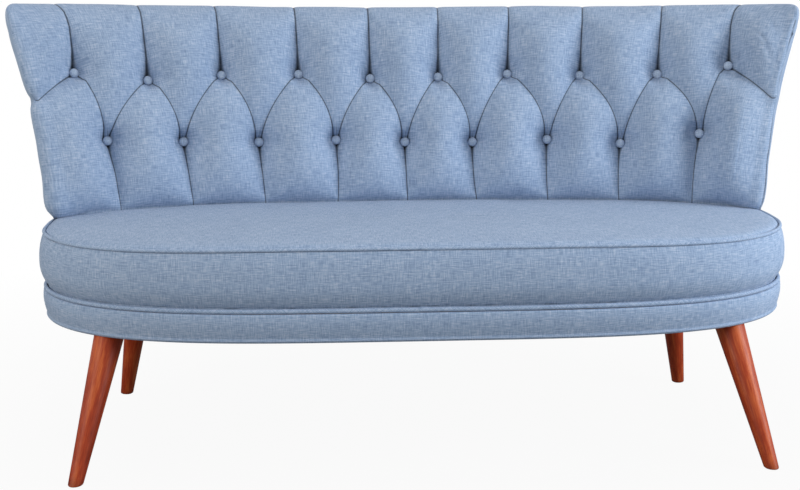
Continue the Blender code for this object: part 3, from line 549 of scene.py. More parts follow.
@dataclass
class Finishes:
    """Every finish of the loveseat, made once."""

    cover: Material = field(init=False)
    tufted: Material = field(init=False)
    button: Material = field(init=False)
    bias: Material = field(init=False)
    legs: Material = field(init=False)
    timber: Material = field(init=False)
    plywood: Material = field(init=False)
    steel: Material = field(init=False)
    dust: Material = field(init=False)
    strap: Material = field(init=False)

    def __post_init__(self) -> None:
        """Make the finishes."""
        self.cover = LinenFinish("linen_cover", *LINEN).make()
        # The tufted pad's linen has painted shade along its pleats
        self.tufted = LinenFinish("linen_tufted", *LINEN, paints_pleat_shade=True).make()
        # The buttons' linen is a paler copy of the cover's: painted light
        self.button = LinenFinish("linen_button", *PAINTED_LIGHT_LINEN).make()
        self.bias = LinenFinish("linen_bias_cut", *LINEN, turn=math.radians(45.0)).make()
        self.legs = StainedWood().make()
        self.timber = BareTimber("bare_timber", (0.36, 0.24, 0.13), (0.62, 0.47, 0.30)).make()
        self.plywood = BareTimber("bare_plywood", (0.48, 0.34, 0.20), (0.70, 0.56, 0.39),
                                  grain=(9.0, 9.0, 120.0)).make()
        self.steel = ZincPlate().make()
        self.dust = HiddenCloth("dust_cloth", (0.012, 0.012, 0.014), (0.035, 0.035, 0.040),
                                pitch=0.0018).make()
        self.strap = HiddenCloth("woven_strap", (0.05, 0.05, 0.055), (0.14, 0.14, 0.15),
                                 pitch=0.003).make()


# Outlines

def arc_lengths(points: Array) -> Array:
    """Distance along a line of points, from its first point."""
    return np.concatenate([[0.0], np.cumsum(np.linalg.norm(np.diff(points, axis=0), axis=1))])


@dataclass
class SquaredOval:
    """Half of a squared-off ellipse: its half sizes, and how square it is across and deep."""

    half_width: Array | float
    half_depth: Array | float
    power_x: float
    power_y: float

    def place(self, angle: Array) -> tuple[Array, Array]:
        """Point at an angle from the middle of the long side.

        Args:
            angle: Angles in radians, negative to the left.

        Returns:
            The distance across and the distance out.
        """
        x = self.half_width * np.sign(angle) * np.abs(np.sin(angle)) ** (2 / self.power_x)
        y = self.half_depth * np.maximum(np.cos(angle), 0.0) ** (2 / self.power_y)
        return x, y

    def normal(self, x: Array, y: Array) -> Array:
        """Unit vectors out of the outline at its points."""
        gx = self.power_x / self.half_width * (np.abs(x) / self.half_width) ** (self.power_x - 1)
        gy = self.power_y / self.half_depth * (np.abs(y) / self.half_depth) ** (self.power_y - 1)
        return unit(np.stack([np.sign(x) * gx, np.sign(y) * gy], axis=-1))


@dataclass
class DrumOutline:
    """Outline of the seat drum from above, walked from its front's middle, right side first."""

    half_width: float
    half_depth: float
    centre_y: float
    front_powers: Pair = (4.0, 2.0)
    rear_powers: Pair = (3.2, 3.2)
    front: SquaredOval = field(init=False)
    rear: SquaredOval = field(init=False)

    def __post_init__(self) -> None:
        """Measure the two quarters once."""
        self.front = SquaredOval(self.half_width, self.half_depth, *self.front_powers)
        self.rear = SquaredOval(self.half_width, self.half_depth, *self.rear_powers)
        self.angles = np.linspace(0.0, math.pi / 2, SAMPLES)
        self.front_run = arc_lengths(np.stack(self.front.place(self.angles), axis=1))
        self.rear_run = arc_lengths(np.stack(self.rear.place(self.angles), axis=1))
        self.half_perimeter = float(self.front_run[-1] + self.rear_run[-1])

    def stations(self, count: int) -> Array:
        """Even distances round the whole outline."""
        return np.arange(count) * (2 * self.half_perimeter / count)

    def point(self, distance: Array, inset: Array | float, shrink: bool = False) -> Array:
        """Points of the outline moved inwards.

        Args:
            distance: Distances along the outline.
            inset: How far in, in metres, negative to go out.
            shrink: Whether both half sizes are made smaller instead, for deep insets.

        Returns:
            Places in plan, as an array that ends in 2.
        """
        half = self.half_perimeter
        wrapped = (distance + half) % (2 * half) - half
        side = np.where(wrapped < 0, -1.0, 1.0)
        length = np.abs(wrapped)
        at_front = length <= self.front_run[-1]
        front_angle = np.interp(length, self.front_run, self.angles)
        rear_angle = np.interp(half - length, self.rear_run, self.angles)
        places = []
        for oval, angle, facing in ((self.front, front_angle, -1.0), (self.rear, rear_angle, 1.0)):
            if shrink:
                oval = SquaredOval(self.half_width - inset, self.half_depth - inset, oval.power_x,
                                   oval.power_y)
            x, y = oval.place(angle)
            place = np.stack([side * x, facing * y], axis=-1)
            if not shrink:
                place = place - np.asarray(inset)[..., None] * oval.normal(side * x, facing * y)
            places.append(place)
        return np.where(at_front[..., None], *places) + np.array([0.0, self.centre_y])

    def ring(self, count: int, inset: Array | float, z: Array | float,
             shrink: bool = False) -> Array:
        """Closed ring of points at an inset and a height."""
        plan = self.point(self.stations(count), inset, shrink)
        return np.column_stack([plan, np.broadcast_to(np.asarray(z, float), plan.shape[:1])])


@dataclass
class BackForm:
    """Shape of the leaning back before it is tufted: its outside face and its pad's front face."""

    drum: DrumOutline
    bottom: float
    shoulder: float
    inset: float = 0.004
    forward: float = 0.017
    measured_at: float = 0.54225
    top_middle: float = 0.722
    wing_rise: float = 0.015
    right_droop: float = 0.0045
    foot_tuck: float = 0.0080
    foot_calm: float = 0.65
    end_angle: float = math.radians(82.0)
    wing_flare: float = 0.088
    wing_rake: float = 0.070
    back_rake: float = 0.080
    pad_rake: float = 0.100
    pad_wider: float = 0.014
    pad_middle: float = 0.080
    pad_power: float = 2.2
    pad_end: float = 0.935
    lean_curving: float = 0.65
    corner_run: float = 0.038
    corner_fall: float = 0.024
    edge_run: float = 0.026

    def __post_init__(self) -> None:
        """Measure both faces once, so that shares of their length can be looked up."""
        self.outer_half_width = self.drum.half_width - self.inset
        self.outer_half_depth = self.drum.half_depth - self.inset
        self.pad_half_width = self.drum.half_width + self.pad_wider
        self.shift = self.drum.centre_y - self.forward
        self.pad_half_depth = self.forward + self.outer_half_depth - self.pad_middle
        self.outer_angles = np.linspace(0.0, self.end_angle, SAMPLES)
        outer = SquaredOval(self.outer_half_width, self.outer_half_depth, *self.drum.rear_powers)
        self.outer_run = arc_lengths(np.stack(outer.place(self.outer_angles), axis=1))
        self.fractions = np.linspace(0.0, self.pad_end, SAMPLES)
        x, y = self.pad_curve(self.fractions, np.full_like(self.fractions, self.measured_at))[:2]
        self.pad_run = arc_lengths(np.stack([x, y], axis=1))
        self.length = float(self.pad_run[-1])
        self.face_shares = np.linspace(-1.0, 1.0, 401)
        self.shares_behind = self.find_behind(self.face_shares, self.shoulder)

    def lean(self, z: Array) -> Array:
        """How far the back has leaned at a height: 0 at the seat, 1 at the top of the wings."""
        t = np.maximum((z - self.bottom) / (self.top_middle + self.wing_rise - self.bottom), 0.0)
        return t * (1 - self.lean_curving) + t * t * self.lean_curving

    def outer(self, share: Array, z: Array, depth: float = 0.0) -> Array:
        """Points of the outside face, moved in by a depth.

        Args:
            share: Shares of the face's half length, from -1 to 1.
            z: Heights.
            depth: Distance in from the face.

        Returns:
            Places, as an array that ends in 3.
        """
        lean = self.lean(z)
        half_depth = self.outer_half_depth + (self.back_rake - self.wing_rake) * lean
        oval = SquaredOval(self.outer_half_width + self.wing_flare * lean, half_depth,
                           *self.drum.rear_powers)
        angle = np.interp(np.abs(share) * self.outer_run[-1], self.outer_run, self.outer_angles)
        x, y = oval.place(np.copysign(angle, share))
        place = np.stack([x, y], axis=-1) - depth * oval.normal(x, y)
        place[..., 1] += self.drum.centre_y + self.wing_rake * lean
        return np.concatenate([place, z[..., None]], axis=-1)

    def pad_curve(self, fraction: Array, z: Array) -> tuple[Array, ...]:
        """Plan of the pad's front face: across, back, both half sizes and its lean back."""
        lean = self.lean(z)
        half_width = self.pad_half_width + self.wing_flare * lean
        half_depth = self.pad_half_depth + (self.pad_rake - self.wing_rake) * lean
        x = half_width * fraction
        y = half_depth * (1 - np.abs(fraction) ** self.pad_power) ** (1 / self.pad_power)
        return x, y, half_width, half_depth, self.wing_rake * lean

    def front(self, share: Array, z: Array, sink: Array | float = 0.0) -> Array:
        """Points of the pad's front face, sunk towards the rear.

        Args:
            share: Shares of the face's half length, from -1 to 1.
            z: Heights.
            sink: Distance in from the face.

        Returns:
            Places, as an array that ends in 3.
        """
        fraction = np.interp(np.abs(share) * self.length, self.pad_run, self.fractions)
        x, y, half_width, half_depth, lean_y = self.pad_curve(np.copysign(fraction, share), z)
        normal = SquaredOval(half_width, half_depth, self.pad_power, self.pad_power).normal(x, y)
        place = np.stack([x, y], axis=-1) + np.asarray(sink)[..., None] * normal
        place[..., 1] += lean_y + self.shift
        return np.concatenate([place, z[..., None]], axis=-1)

    def find_behind(self, share: Array, level: float) -> Array:
        """Share of the outside face that lies squarely behind each share of the pad's front.

        Args:
            share: Shares of the front, from -1 to 1.
            level: Height at which they are paired.

        Returns:
            Shares of the outside face, the same at both tips.
        """
        z = np.full_like(share, level)
        front = self.front(share, z)
        inward = (self.front(share, z, 0.01) - front)[:, :2]
        outside_shares = np.linspace(-1.0, 1.0, 1601)
        outside = self.outer(outside_shares, np.full_like(outside_shares, level))[:, :2]
        offset = outside[None] - front[:, None, :2]
        aside = np.abs(offset[..., 0] * inward[:, None, 1] - offset[..., 1] * inward[:, None, 0])
        behind = offset[..., 0] * inward[:, None, 0] + offset[..., 1] * inward[:, None, 1]
        square = outside_shares[np.argmin(np.where(behind > 0, aside, 9.0), axis=1)]
        tip = ease(np.abs(share), 0.72, 1.0)
        return np.maximum.accumulate(square * (1 - tip) + share * tip)

    def behind(self, share: Array) -> Array:
        """Share of the outside face squarely behind a share of the pad's front."""
        return np.interp(share, self.face_shares, self.shares_behind)

    def foot_sink(self, share: Array) -> Array:
        """How far the pad's foot is tucked back behind its plain face, less towards the wings."""
        return self.foot_tuck * (1 - self.foot_calm * ease(np.abs(share), 0.62, 0.95))

    def crest(self, share: Array) -> Array:
        """Height of the top edge before its corners are rounded, a little lower on the right."""
        droop = self.right_droop * ease(share, 0.2, 0.75)
        return self.top_middle + self.wing_rise * share ** 2 - droop

    def corner_drop(self, margin: Array) -> Array:
        """Fall of the top edge at the wing's corner, by the distance left to its tip."""
        past = np.maximum(0.0, 1 - margin / self.corner_run)
        return self.corner_fall * (1 - np.sqrt(np.maximum(0.0, 1 - past ** 2)))

    def wing(self, hand: float, angle: Array, z: Array, half: float) -> Array:
        """Points of the half-round wing edge.

        Args:
            hand: -1 for the left wing, 1 for the right.
            angle: Turn from the face towards the edge's middle, in radians.
            z: Heights.
            half: 1 for the edge's front half, -1 for its outside half.

        Returns:
            Places, as an array that ends in 3.
        """
        share = np.full_like(z, hand)
        front, rear = self.front(share, z), self.outer(share, z)
        middle = (front + rear) / 2
        spoke = front - middle
        across, back = np.abs(spoke[..., 0]), np.abs(spoke[..., 1])
        forward = np.stack([hand * back, -across, np.zeros_like(z)], axis=-1)
        facing = spoke * (half * np.cos(angle))[..., None]
        return middle + facing + forward * np.sin(angle)[..., None]

    def edge_radius(self) -> float:
        """Radius of the wing edge, taken at mid height."""
        z, one = np.array([0.55]), np.ones(1)
        return float(np.linalg.norm(self.front(one, z) - self.outer(one, z)) / 2)


# Tufting

@dataclass
class Crease:
    """A line in the flattened cloth, with the share of full depth at each of its points."""

    line: Array
    depth: Array

    def measure(self, places: Array, reach: float) -> tuple[Array, ...]:
        """Distance from the line of every place within reach.

        Args:
            places: Flat cloth coordinates, one pair a row.
            reach: Distance past which a place is left out.

        Returns:
            The numbers of the places, their distances, depth shares and sides of the line.
        """
        low, high = self.line.min(axis=0) - reach, self.line.max(axis=0) + reach
        near = np.nonzero(np.all((places > low) & (places < high), axis=1))[0]
        start, step = self.line[:-1], np.diff(self.line, axis=0)
        away = places[near][:, None, :] - start[None]
        along = np.clip((away * step).sum(-1) / (step ** 2).sum(-1), 0.0, 1.0)
        gap = away - along[..., None] * step
        distance = np.hypot(gap[..., 0], gap[..., 1])
        best = np.argmin(distance, axis=1)
        rows = np.arange(len(near))
        share = along[rows, best]
        depth = self.depth[best] * (1 - share) + self.depth[best + 1] * share
        side = np.sign(step[best, 0] * away[rows, best, 1] - step[best, 1] * away[rows, best, 0])
        return near, distance[rows, best], depth, side


@dataclass(frozen=True)
class Stray:
    """How far a hand-tied button sits from its even place, in millimetres across and up."""

    across: float
    up: float


TOP_STRAYS = (Stray(-4, -2), Stray(-8, -8), Stray(-6, 3), Stray(3, 4), Stray(4, -5), Stray(0, -3),
              Stray(-2, 2), Stray(1, -2), Stray(11, -3), Stray(3, 4))
LOWER_STRAYS = (Stray(-3, 2), Stray(-2, 2), Stray(0, 0), Stray(8, 2), Stray(1, -3), Stray(-7, -4),
                Stray(-3, 0), Stray(-2, -9), Stray(5, 5))
# Insets of the band's section at its top and where it is turned in, with their heights above
# its top and its bottom
BAND_TOP = ((0.004, -0.0005), (0.0022, 0.0), (0.0010, -0.0004))
BAND_TURNED_IN = ((0.0084, -0.0034), (0.0084, 0.0002), (0.0062, 0.002))
# Shares of a button's radius and height, from the underside of its rim to its top
BUTTON_PROFILE = ((0.55, 0.0), (0.80, 0.02), (0.93, 0.12), (1.0, 0.27), (1.0, 0.38), (0.95, 0.53),
                  (0.86, 0.68), (0.72, 0.82), (0.54, 0.92), (0.32, 0.98), (0.12, 1.0))
# Angles in degrees at which puckers leave the buttons of either row, and how they fade
TOP_FAN = (-150, -118, -66, -30, 205, 222, -15, 196)
LOWER_FAN = (22, 60, 118, 158, 200, 340, 40, 140)
PUCKER_FADE = (0.7, 1.0, 0.75, 0.4, 0.0)


@dataclass(frozen=True)
class Wrinkle:
    """Loose wrinkle on a wing: its start beside and above the end button, its run and strength."""

    away: float
    rise: float
    run: float
    strength: float


WING_WRINKLES = (Wrinkle(0.030, 0.052, 0.050, 1.0), Wrinkle(0.040, 0.034, 0.042, 0.8),
                 Wrinkle(0.026, 0.020, 0.036, 0.7), Wrinkle(0.050, 0.070, 0.030, 0.6),
                 Wrinkle(0.018, -0.024, 0.040, 0.5), Wrinkle(0.006, -0.020, 0.050, 0.5))


@dataclass(frozen=True)
class Button:
    """One button: its row, its number from the left and its place in half pitches."""

    row: Row
    number: int
    index: int

    @property
    def stray(self) -> Array:
        """How far it strays from its even place, in metres."""
        stray = (TOP_STRAYS if self.row is Row.TOP else LOWER_STRAYS)[self.number - 1]
        return np.array([stray.across, stray.up]) / 1000


@dataclass
class Tufting:
    """Buttons and pleats in the flattened cloth, and the relief that they give the pad."""

    form: BackForm
    top_count: int = 10
    lower_count: int = 9
    last_share: float = 0.933
    top_draw: float = 0.939
    crest_draw: float = 0.918
    top_height: float = 0.602
    lower_height: float = 0.4825
    end_rise: float = 0.024
    left_drop: float = 0.049
    right_drop: float = 0.060
    aside: float = -0.0050
    lift: float = 0.0045
    arc_apart: float = 0.0050
    arc_lift: float = 0.0030
    lower_bend: float = 0.35
    end_haste: float = 1.35
    left_bow: float = 2.0
    right_bow: float = 1.6
    top_fade: float = 0.30
    lower_fade: float = 0.56
    arc_fade: float = 0.66
    end_fade: float = 0.62
    cell: float = 0.0020
    pressure: float = 24.0
    foam_reach: float = 0.120
    hold_force: float = 30.0
    over_relaxed: float = 1.90
    rest: float = 0.0100
    pleat_sink: float = 0.0200
    button_sink: float = 0.0290
    button_reach: float = 0.0210
    button_core: float = 0.55
    button_flat: float = 0.0060
    funnel: float = 0.72
    funnel_power: float = 0.90
    crest_calm: float = 0.80
    foot_rows: float = 0.003
    foot_pull: float = 1.1
    crest_rows: float = 0.030
    edge_hold: float = 0.0018
    left_plump: float = 0.0094
    right_plump: float = 0.0020
    right_slack: float = 0.0060
    right_pinch: float = 0.0065
    right_stuffing: float = 0.45
    left_swell: float = 0.006
    left_top: Pair = (0.670, 0.715)
    left_foot: Pair = (0.400, 0.440)
    slack_rise: Pair = (0.410, 0.470)
    pinch_rise: Pair = (0.500, 0.560)
    pinch_fall: Pair = (0.610, 0.660)
    pinch_left: float = 0.6
    held_depth: Pair = (0.30, 0.65)
    edge_turn: float = math.radians(78.0)
    reach: float = 0.0120
    grip: float = 0.0024
    slit: float = 0.0042
    slit_run: float = 0.0022
    valley: float = 0.0050
    valley_run: float = 0.0060
    wedge: float = 0.0060
    wedge_run: float = 0.0045
    top_open: float = 0.027
    lower_open: float = 0.016
    fold: float = 0.0014
    pucker_swing: float = 9.0
    pucker_start: float = 0.010
    pucker_end: Pair = (0.024, 0.046)
    pucker_curl: float = 0.25
    pucker_strength: Pair = (0.35, 1.0)
    pucker: float = 0.0012
    pucker_run: float = 0.0030
    ripples: tuple[Pair, ...] = ((0.0012, 0.075), (0.0005, 0.028))
    rounds: int = 260
    seed: int = 21

    def half_pitch(self) -> float:
        """Distance along the cloth between a top button and the next lower one."""
        return self.last_share * self.form.length / (self.top_count - 1)

    def draw(self, z: Array | float) -> Array:
        """How far the pleats have drawn together at a height."""
        levels = (self.lower_height, self.top_height, self.form.top_middle)
        return np.interp(z, levels, (1.0, self.top_draw, self.crest_draw))

    def buttons(self, row: Row) -> list[Button]:
        """The buttons of a row, from left to right."""
        count = self.top_count if row is Row.TOP else self.lower_count
        places = enumerate(range(-(count - 1), count, 2), 1)
        return [Button(row, number, index) for number, index in places]

    def even_z(self, row: Row, index: float) -> float:
        """Even height of a row at a place in half pitches from the middle."""
        share = index * self.half_pitch() / self.form.length
        base = self.top_height if row is Row.TOP else self.lower_height
        return base + self.end_rise * share ** 4

    def spot(self, button: Button) -> Array:
        """Flat cloth coordinates of a button."""
        z = self.even_z(button.row, button.index)
        even = np.array([button.index * self.half_pitch() * float(self.draw(z)), z])
        return even + button.stray + np.array([self.aside, self.lift])

    def pleats(self, crest_run: float) -> list[Crease]:
        """Every pleat of the front.

        Args:
            crest_run: Cloth coordinate at which the top pleats end behind the crest.

        Returns:
            The pleats as creases.
        """
        made = []
        tops, lowers = self.buttons(Row.TOP), self.buttons(Row.LOWER)
        for button in tops:
            spot = self.spot(button)
            heights = np.linspace(spot[1], crest_run, 30)
            drawn = self.draw(heights) - self.draw(spot[1])
            across = spot[0] + button.index * self.half_pitch() * drawn
            fade = 1 - self.top_fade * ease(heights, spot[1] + 0.005, spot[1] + 0.045)
            fade *= 1 - ease(heights, self.form.shoulder + 0.03, crest_run)
            made.append(Crease(np.column_stack([across, heights]), fade))
        for button in lowers:
            spot = self.spot(button)
            share = np.linspace(0.0, 1.0, 16)
            low = np.array([button.index * self.half_pitch(), self.form.bottom - 0.01])
            line = spot + np.outer(share, low - spot)
            line[:, 0] += self.lower_bend * (spot[0] - low[0]) * np.sin(math.pi * share)
            made.append(Crease(line, 1 - self.lower_fade * ease(share, 0.05, 0.50)))
        levels = np.linspace(0.0, 1.0, 29)
        for place, button in enumerate(lowers):
            spot = self.spot(button)
            for neighbour, side, bow in ((tops[place], -1, self.left_bow),
                                         (tops[place + 1], 1, self.right_bow)):
                offset = np.array([side * self.arc_apart, self.arc_lift])
                start, goal = spot + offset, self.spot(neighbour) - offset
                line = start + (goal - start) * np.column_stack([levels ** bow, levels])
                fade = 1 - self.arc_fade * np.sin(math.pi * np.minimum(levels, 0.5)) ** 0.8
                made.append(Crease(line, fade + 0.16 * ease(levels, 0.6, 1.0)))
        edge = self.form.length + self.form.edge_radius() * math.pi
        for hand, button in zip((-1, 1), (tops[0], tops[-1])):
            spot = self.spot(button)
            share = np.linspace(0.0, 1.0, 20)
            line = spot + np.outer(share, [hand * edge - spot[0], 0.0])
            drop = self.left_drop if hand < 0 else self.right_drop
            line[:, 1] -= drop * np.minimum(1.0, share * self.end_haste)
            made.append(Crease(line, 1 - self.end_fade * ease(share, 0.0, 0.5)))
        return made

    def puckers(self) -> list[Crease]:
        """Short soft wrinkles that fan out from the buttons, and longer ones on the wings."""
        rng = np.random.default_rng(self.seed)
        made = []
        for row in Row:
            for button in self.buttons(row):
                centre = self.spot(button)
                for angle in (TOP_FAN if row is Row.TOP else LOWER_FAN):
                    turn = math.radians(angle + rng.uniform(-self.pucker_swing, self.pucker_swing))
                    start, end = self.pucker_start, rng.uniform(*self.pucker_end)
                    reach = np.linspace(start, end, len(PUCKER_FADE))
                    curl = rng.uniform(-self.pucker_curl, self.pucker_curl)
                    turns = turn + curl * (reach - start) / end
                    line = centre + np.column_stack([reach * np.cos(turns), reach * np.sin(turns)])
                    strength = rng.uniform(*self.pucker_strength)
                    made.append(Crease(line, strength * np.array(PUCKER_FADE)))
        for hand, reach in ((1, 1.0), (-1, 0.55)):
            spot = self.spot(self.buttons(Row.TOP)[-1 if hand > 0 else 0])
            for wrinkle in WING_WRINKLES:
                t = np.linspace(0.0, 1.0, 7)
                run = wrinkle.run * t
                across = hand * (wrinkle.away + run)
                up = wrinkle.rise - 0.9 * run + 0.010 * np.sin(math.pi * t)
                if wrinkle.rise < 0:
                    across, up = hand * (wrinkle.away + 0.35 * run), wrinkle.rise - run
                depth = reach * wrinkle.strength * np.sin(math.pi * np.clip(t, 0.02, 0.98))
                made.append(Crease(spot + np.stack([across, up], axis=1), depth))
        return made

    def sheet(self, crest_run: float) -> tuple[Array, Array]:
        """Coordinates of the flat grid on which the relief is worked out."""
        across = self.form.length + self.form.edge_radius() * math.radians(92.0)
        u = np.arange(-across, across + self.cell, self.cell)
        w = np.arange(self.form.bottom - 0.004, crest_run + 2 * self.cell, self.cell)
        return u, w

    def settle(self, pull: Array, target: Array, fill: Array, step: float) -> Array:
        """Height of a stretched cloth over foam, held down at its pleats and buttons.

        Args:
            pull: How firmly each cell is held, 0 for free cloth.
            target: Height to which it is held.
            fill: Share of the full stuffing behind each cell.
            step: Size of a cell.

        Returns:
            The settled height of every cell.
        """
        height = np.where(pull > 0.5, target, self.rest)
        spring = (step / self.foam_reach) ** 2
        hold = self.hold_force * pull
        fixed = self.pressure * step ** 2 * fill + hold * target
        total = 4.0 + spring + hold
        rows, cols = np.indices(height.shape)
        black = (rows + cols) % 2 == 0
        for _ in range(self.rounds):
            for colour in (black, ~black):
                wide = np.pad(height, 1, mode="edge")
                near = wide[:-2, 1:-1] + wide[2:, 1:-1] + wide[1:-1, :-2] + wide[1:-1, 2:]
                settled = (near + fixed) / total
                eased = height + self.over_relaxed * (settled - height)
                height = np.where(colour, eased, height)
        return height

    def turned(self) -> float:
        """Cloth coordinate at which a wing's edge has turned out of sight."""
        return self.form.length + self.form.edge_radius() * self.edge_turn

    def edge_targets(self, across: Array, up: Array) -> Array:
        """How plump each wing's edge is: the left fuller, the right drawn in below its end button.

        Args:
            across: Cloth coordinates across.
            up: Cloth coordinates up.

        Returns:
            The heights to which the wings' edges are softly held.
        """
        left = self.left_plump + self.left_swell * ease(up, *self.left_top)
        left += self.left_swell * (1 - ease(up, *self.left_foot))
        right = self.right_plump - self.right_slack * ease(up, *self.slack_rise)
        pinched = ease(up, *self.pinch_rise) - self.pinch_left * ease(up, *self.pinch_fall)
        right -= self.right_pinch * pinched
        return np.where(across < 0, left, right)

    def hold_down(self, grid: Array, pleats: list[Crease]) -> tuple[Array, Array]:
        """How pleats, buttons, wing edges, foot and crest hold the cloth.

        Args:
            grid: Flat cloth coordinates of the cells, one pair a row.
            pleats: The pleats.

        Returns:
            How firmly each cell is held, and the height to which it is held.
        """
        form = self.form
        pull, target = np.zeros(len(grid)), np.zeros(len(grid))
        for crease in pleats:
            near, distance, depth, _ = crease.measure(grid, self.reach)
            hold = np.exp(-(distance / self.grip) ** 2) * ease(depth, *self.held_depth)
            better = hold > pull[near]
            pull[near] = np.where(better, hold, pull[near])
            held_at = self.rest - (self.rest + self.pleat_sink) * depth
            target[near] = np.where(better, held_at, target[near])
        for button in self.buttons(Row.TOP) + self.buttons(Row.LOWER):
            reach = np.hypot(*(grid - self.spot(button)).T)
            hold = 1 - ease(reach, self.button_core * self.button_reach, self.button_reach)
            sides = self.funnel * np.maximum(reach - self.button_flat, 0.0) ** self.funnel_power
            lower = np.minimum(target, sides - self.button_sink)
            better = hold > 0.0
            target[better] += (lower[better] - target[better]) * hold[better] ** 0.25
            pull = np.maximum(pull, hold ** 3)
        across, up = grid.T
        soft = self.edge_hold * ease(np.abs(across), form.length - 0.010, self.turned())
        target = np.where(soft > pull, self.edge_targets(across, up), target)
        pull = np.maximum(pull, soft)
        foot = form.foot_sink(np.clip(across / form.length, -1.0, 1.0))
        for held, level in ((up < form.bottom + self.foot_rows, -self.foot_pull * foot),
                            (up > form.shoulder + self.crest_rows, 0.0)):
            pull = np.where(held, 1.0, pull)
            target = np.where(held, level, target)
        return pull, target

    def stuffing(self, across: Array) -> Array:
        """Share of the full stuffing, less towards the wings' edges and more in the right wing."""
        length = self.form.length
        wing = ease(across, length - 0.080, length - 0.035)
        wing *= 1 - ease(across, length, self.turned())
        return 1 - 0.30 * ease(np.abs(across), length - 0.06, length) + self.right_stuffing * wing

    def settled(self, places: Array, pleats: list[Crease], crest_run: float) -> Array:
        """Height of the cloth over its plain shape once it has settled on the foam.

        Args:
            places: Flat cloth coordinates, one pair a row.
            pleats: The pleats.
            crest_run: Cloth coordinate at which the top pleats end behind the crest.

        Returns:
            Heights, read between the cells of the flat grid.
        """
        u, w = self.sheet(crest_run)
        grid = np.stack(np.meshgrid(u, w), axis=-1).reshape(-1, 2)
        shape = (len(w), len(u))
        pull, target = (values.reshape(shape) for values in self.hold_down(grid, pleats))
        height = self.settle(pull, target, self.stuffing(grid[:, 0]).reshape(shape), self.cell)
        col = np.clip((places[:, 0] - u[0]) / self.cell, 0, len(u) - 1.001)
        rise = np.clip((places[:, 1] - w[0]) / self.cell, 0, len(w) - 1.001)
        i, j = rise.astype(int), col.astype(int)
        fi, fj = rise - i, col - j
        return (height[i, j] * (1 - fi) * (1 - fj) + height[i + 1, j] * fi * (1 - fj)
                + height[i, j + 1] * (1 - fi) * fj + height[i + 1, j + 1] * fi * fj)

    def relief(self, places: Array, crest_run: float) -> tuple[Array, Array, Array]:
        """Height of the tufted face over its plain shape, and where its pleats run.

        Args:
            places: Flat cloth coordinates, one pair a row.
            crest_run: Cloth coordinate at which the top pleats end behind the crest.

        Returns:
            Height outwards, distance from the nearest pleat, and that distance signed by side and
            scaled to set the width of the painted shade in the fold.
        """
        pleats = self.pleats(crest_run)
        result = self.settled(places, pleats, crest_run)
        shoulder = self.form.shoulder
        result *= 1 - self.crest_calm * ease(places[:, 1], shoulder - 0.035, shoulder + 0.040)
        gap, signed = (np.full(len(places), FAR_FROM_PLEATS) for _ in range(2))
        slit, fold = np.zeros(len(places)), np.zeros(len(places))
        for number, crease in enumerate(pleats):
            near, distance, depth, side = crease.measure(places, FAR_FROM_PLEATS)
            from_start = np.hypot(*(places[near] - crease.line[0]).T)
            open_run = self.top_open if number < self.top_count else self.lower_open
            straight = number < self.top_count + self.lower_count
            opening = np.exp(-(from_start / open_run) ** 2) * straight
            groove = self.slit * depth * np.exp(-(distance / self.slit_run) ** 1.3)
            groove += self.valley * ease(depth, 0.2, 1.0) * np.exp(-distance / self.valley_run)
            groove += self.wedge * opening * np.exp(-(distance / self.wedge_run) ** 1.5)
            slit[near] = np.maximum(slit[near], groove)
            better = distance < gap[near]
            # This scaled distance sets the width of the painted shade along the pleat: narrower
            # where the pleat is shallow, wider where it opens at a button
            thick = distance / np.maximum(depth, 0.05) ** 0.5 / (1 + 2.0 * opening)
            gap[near] = np.where(better, distance, gap[near])
            signed[near] = np.where(better, side * np.maximum(thick, 1e-6), signed[near])
            fold[near] = np.where(better, depth * side * np.exp(-distance / 0.006), fold[near])
        result -= slit + self.fold * fold * np.where(places[:, 0] < 0, 1.0, -1.0)
        for crease in self.puckers():
            near, distance, depth, _ = crease.measure(places, self.reach)
            result[near] -= self.pucker * depth * np.exp(-(distance / self.pucker_run) ** 2)
        for number, (size, pitch) in enumerate(self.ripples):
            result += size * soft_noise(*places.T, pitch, self.seed + number)
        return result, gap, signed


# Pieces

@dataclass
class Maker:
    """A sub-assembly that dresses what it builds in the loveseat's finishes."""

    finishes: Finishes


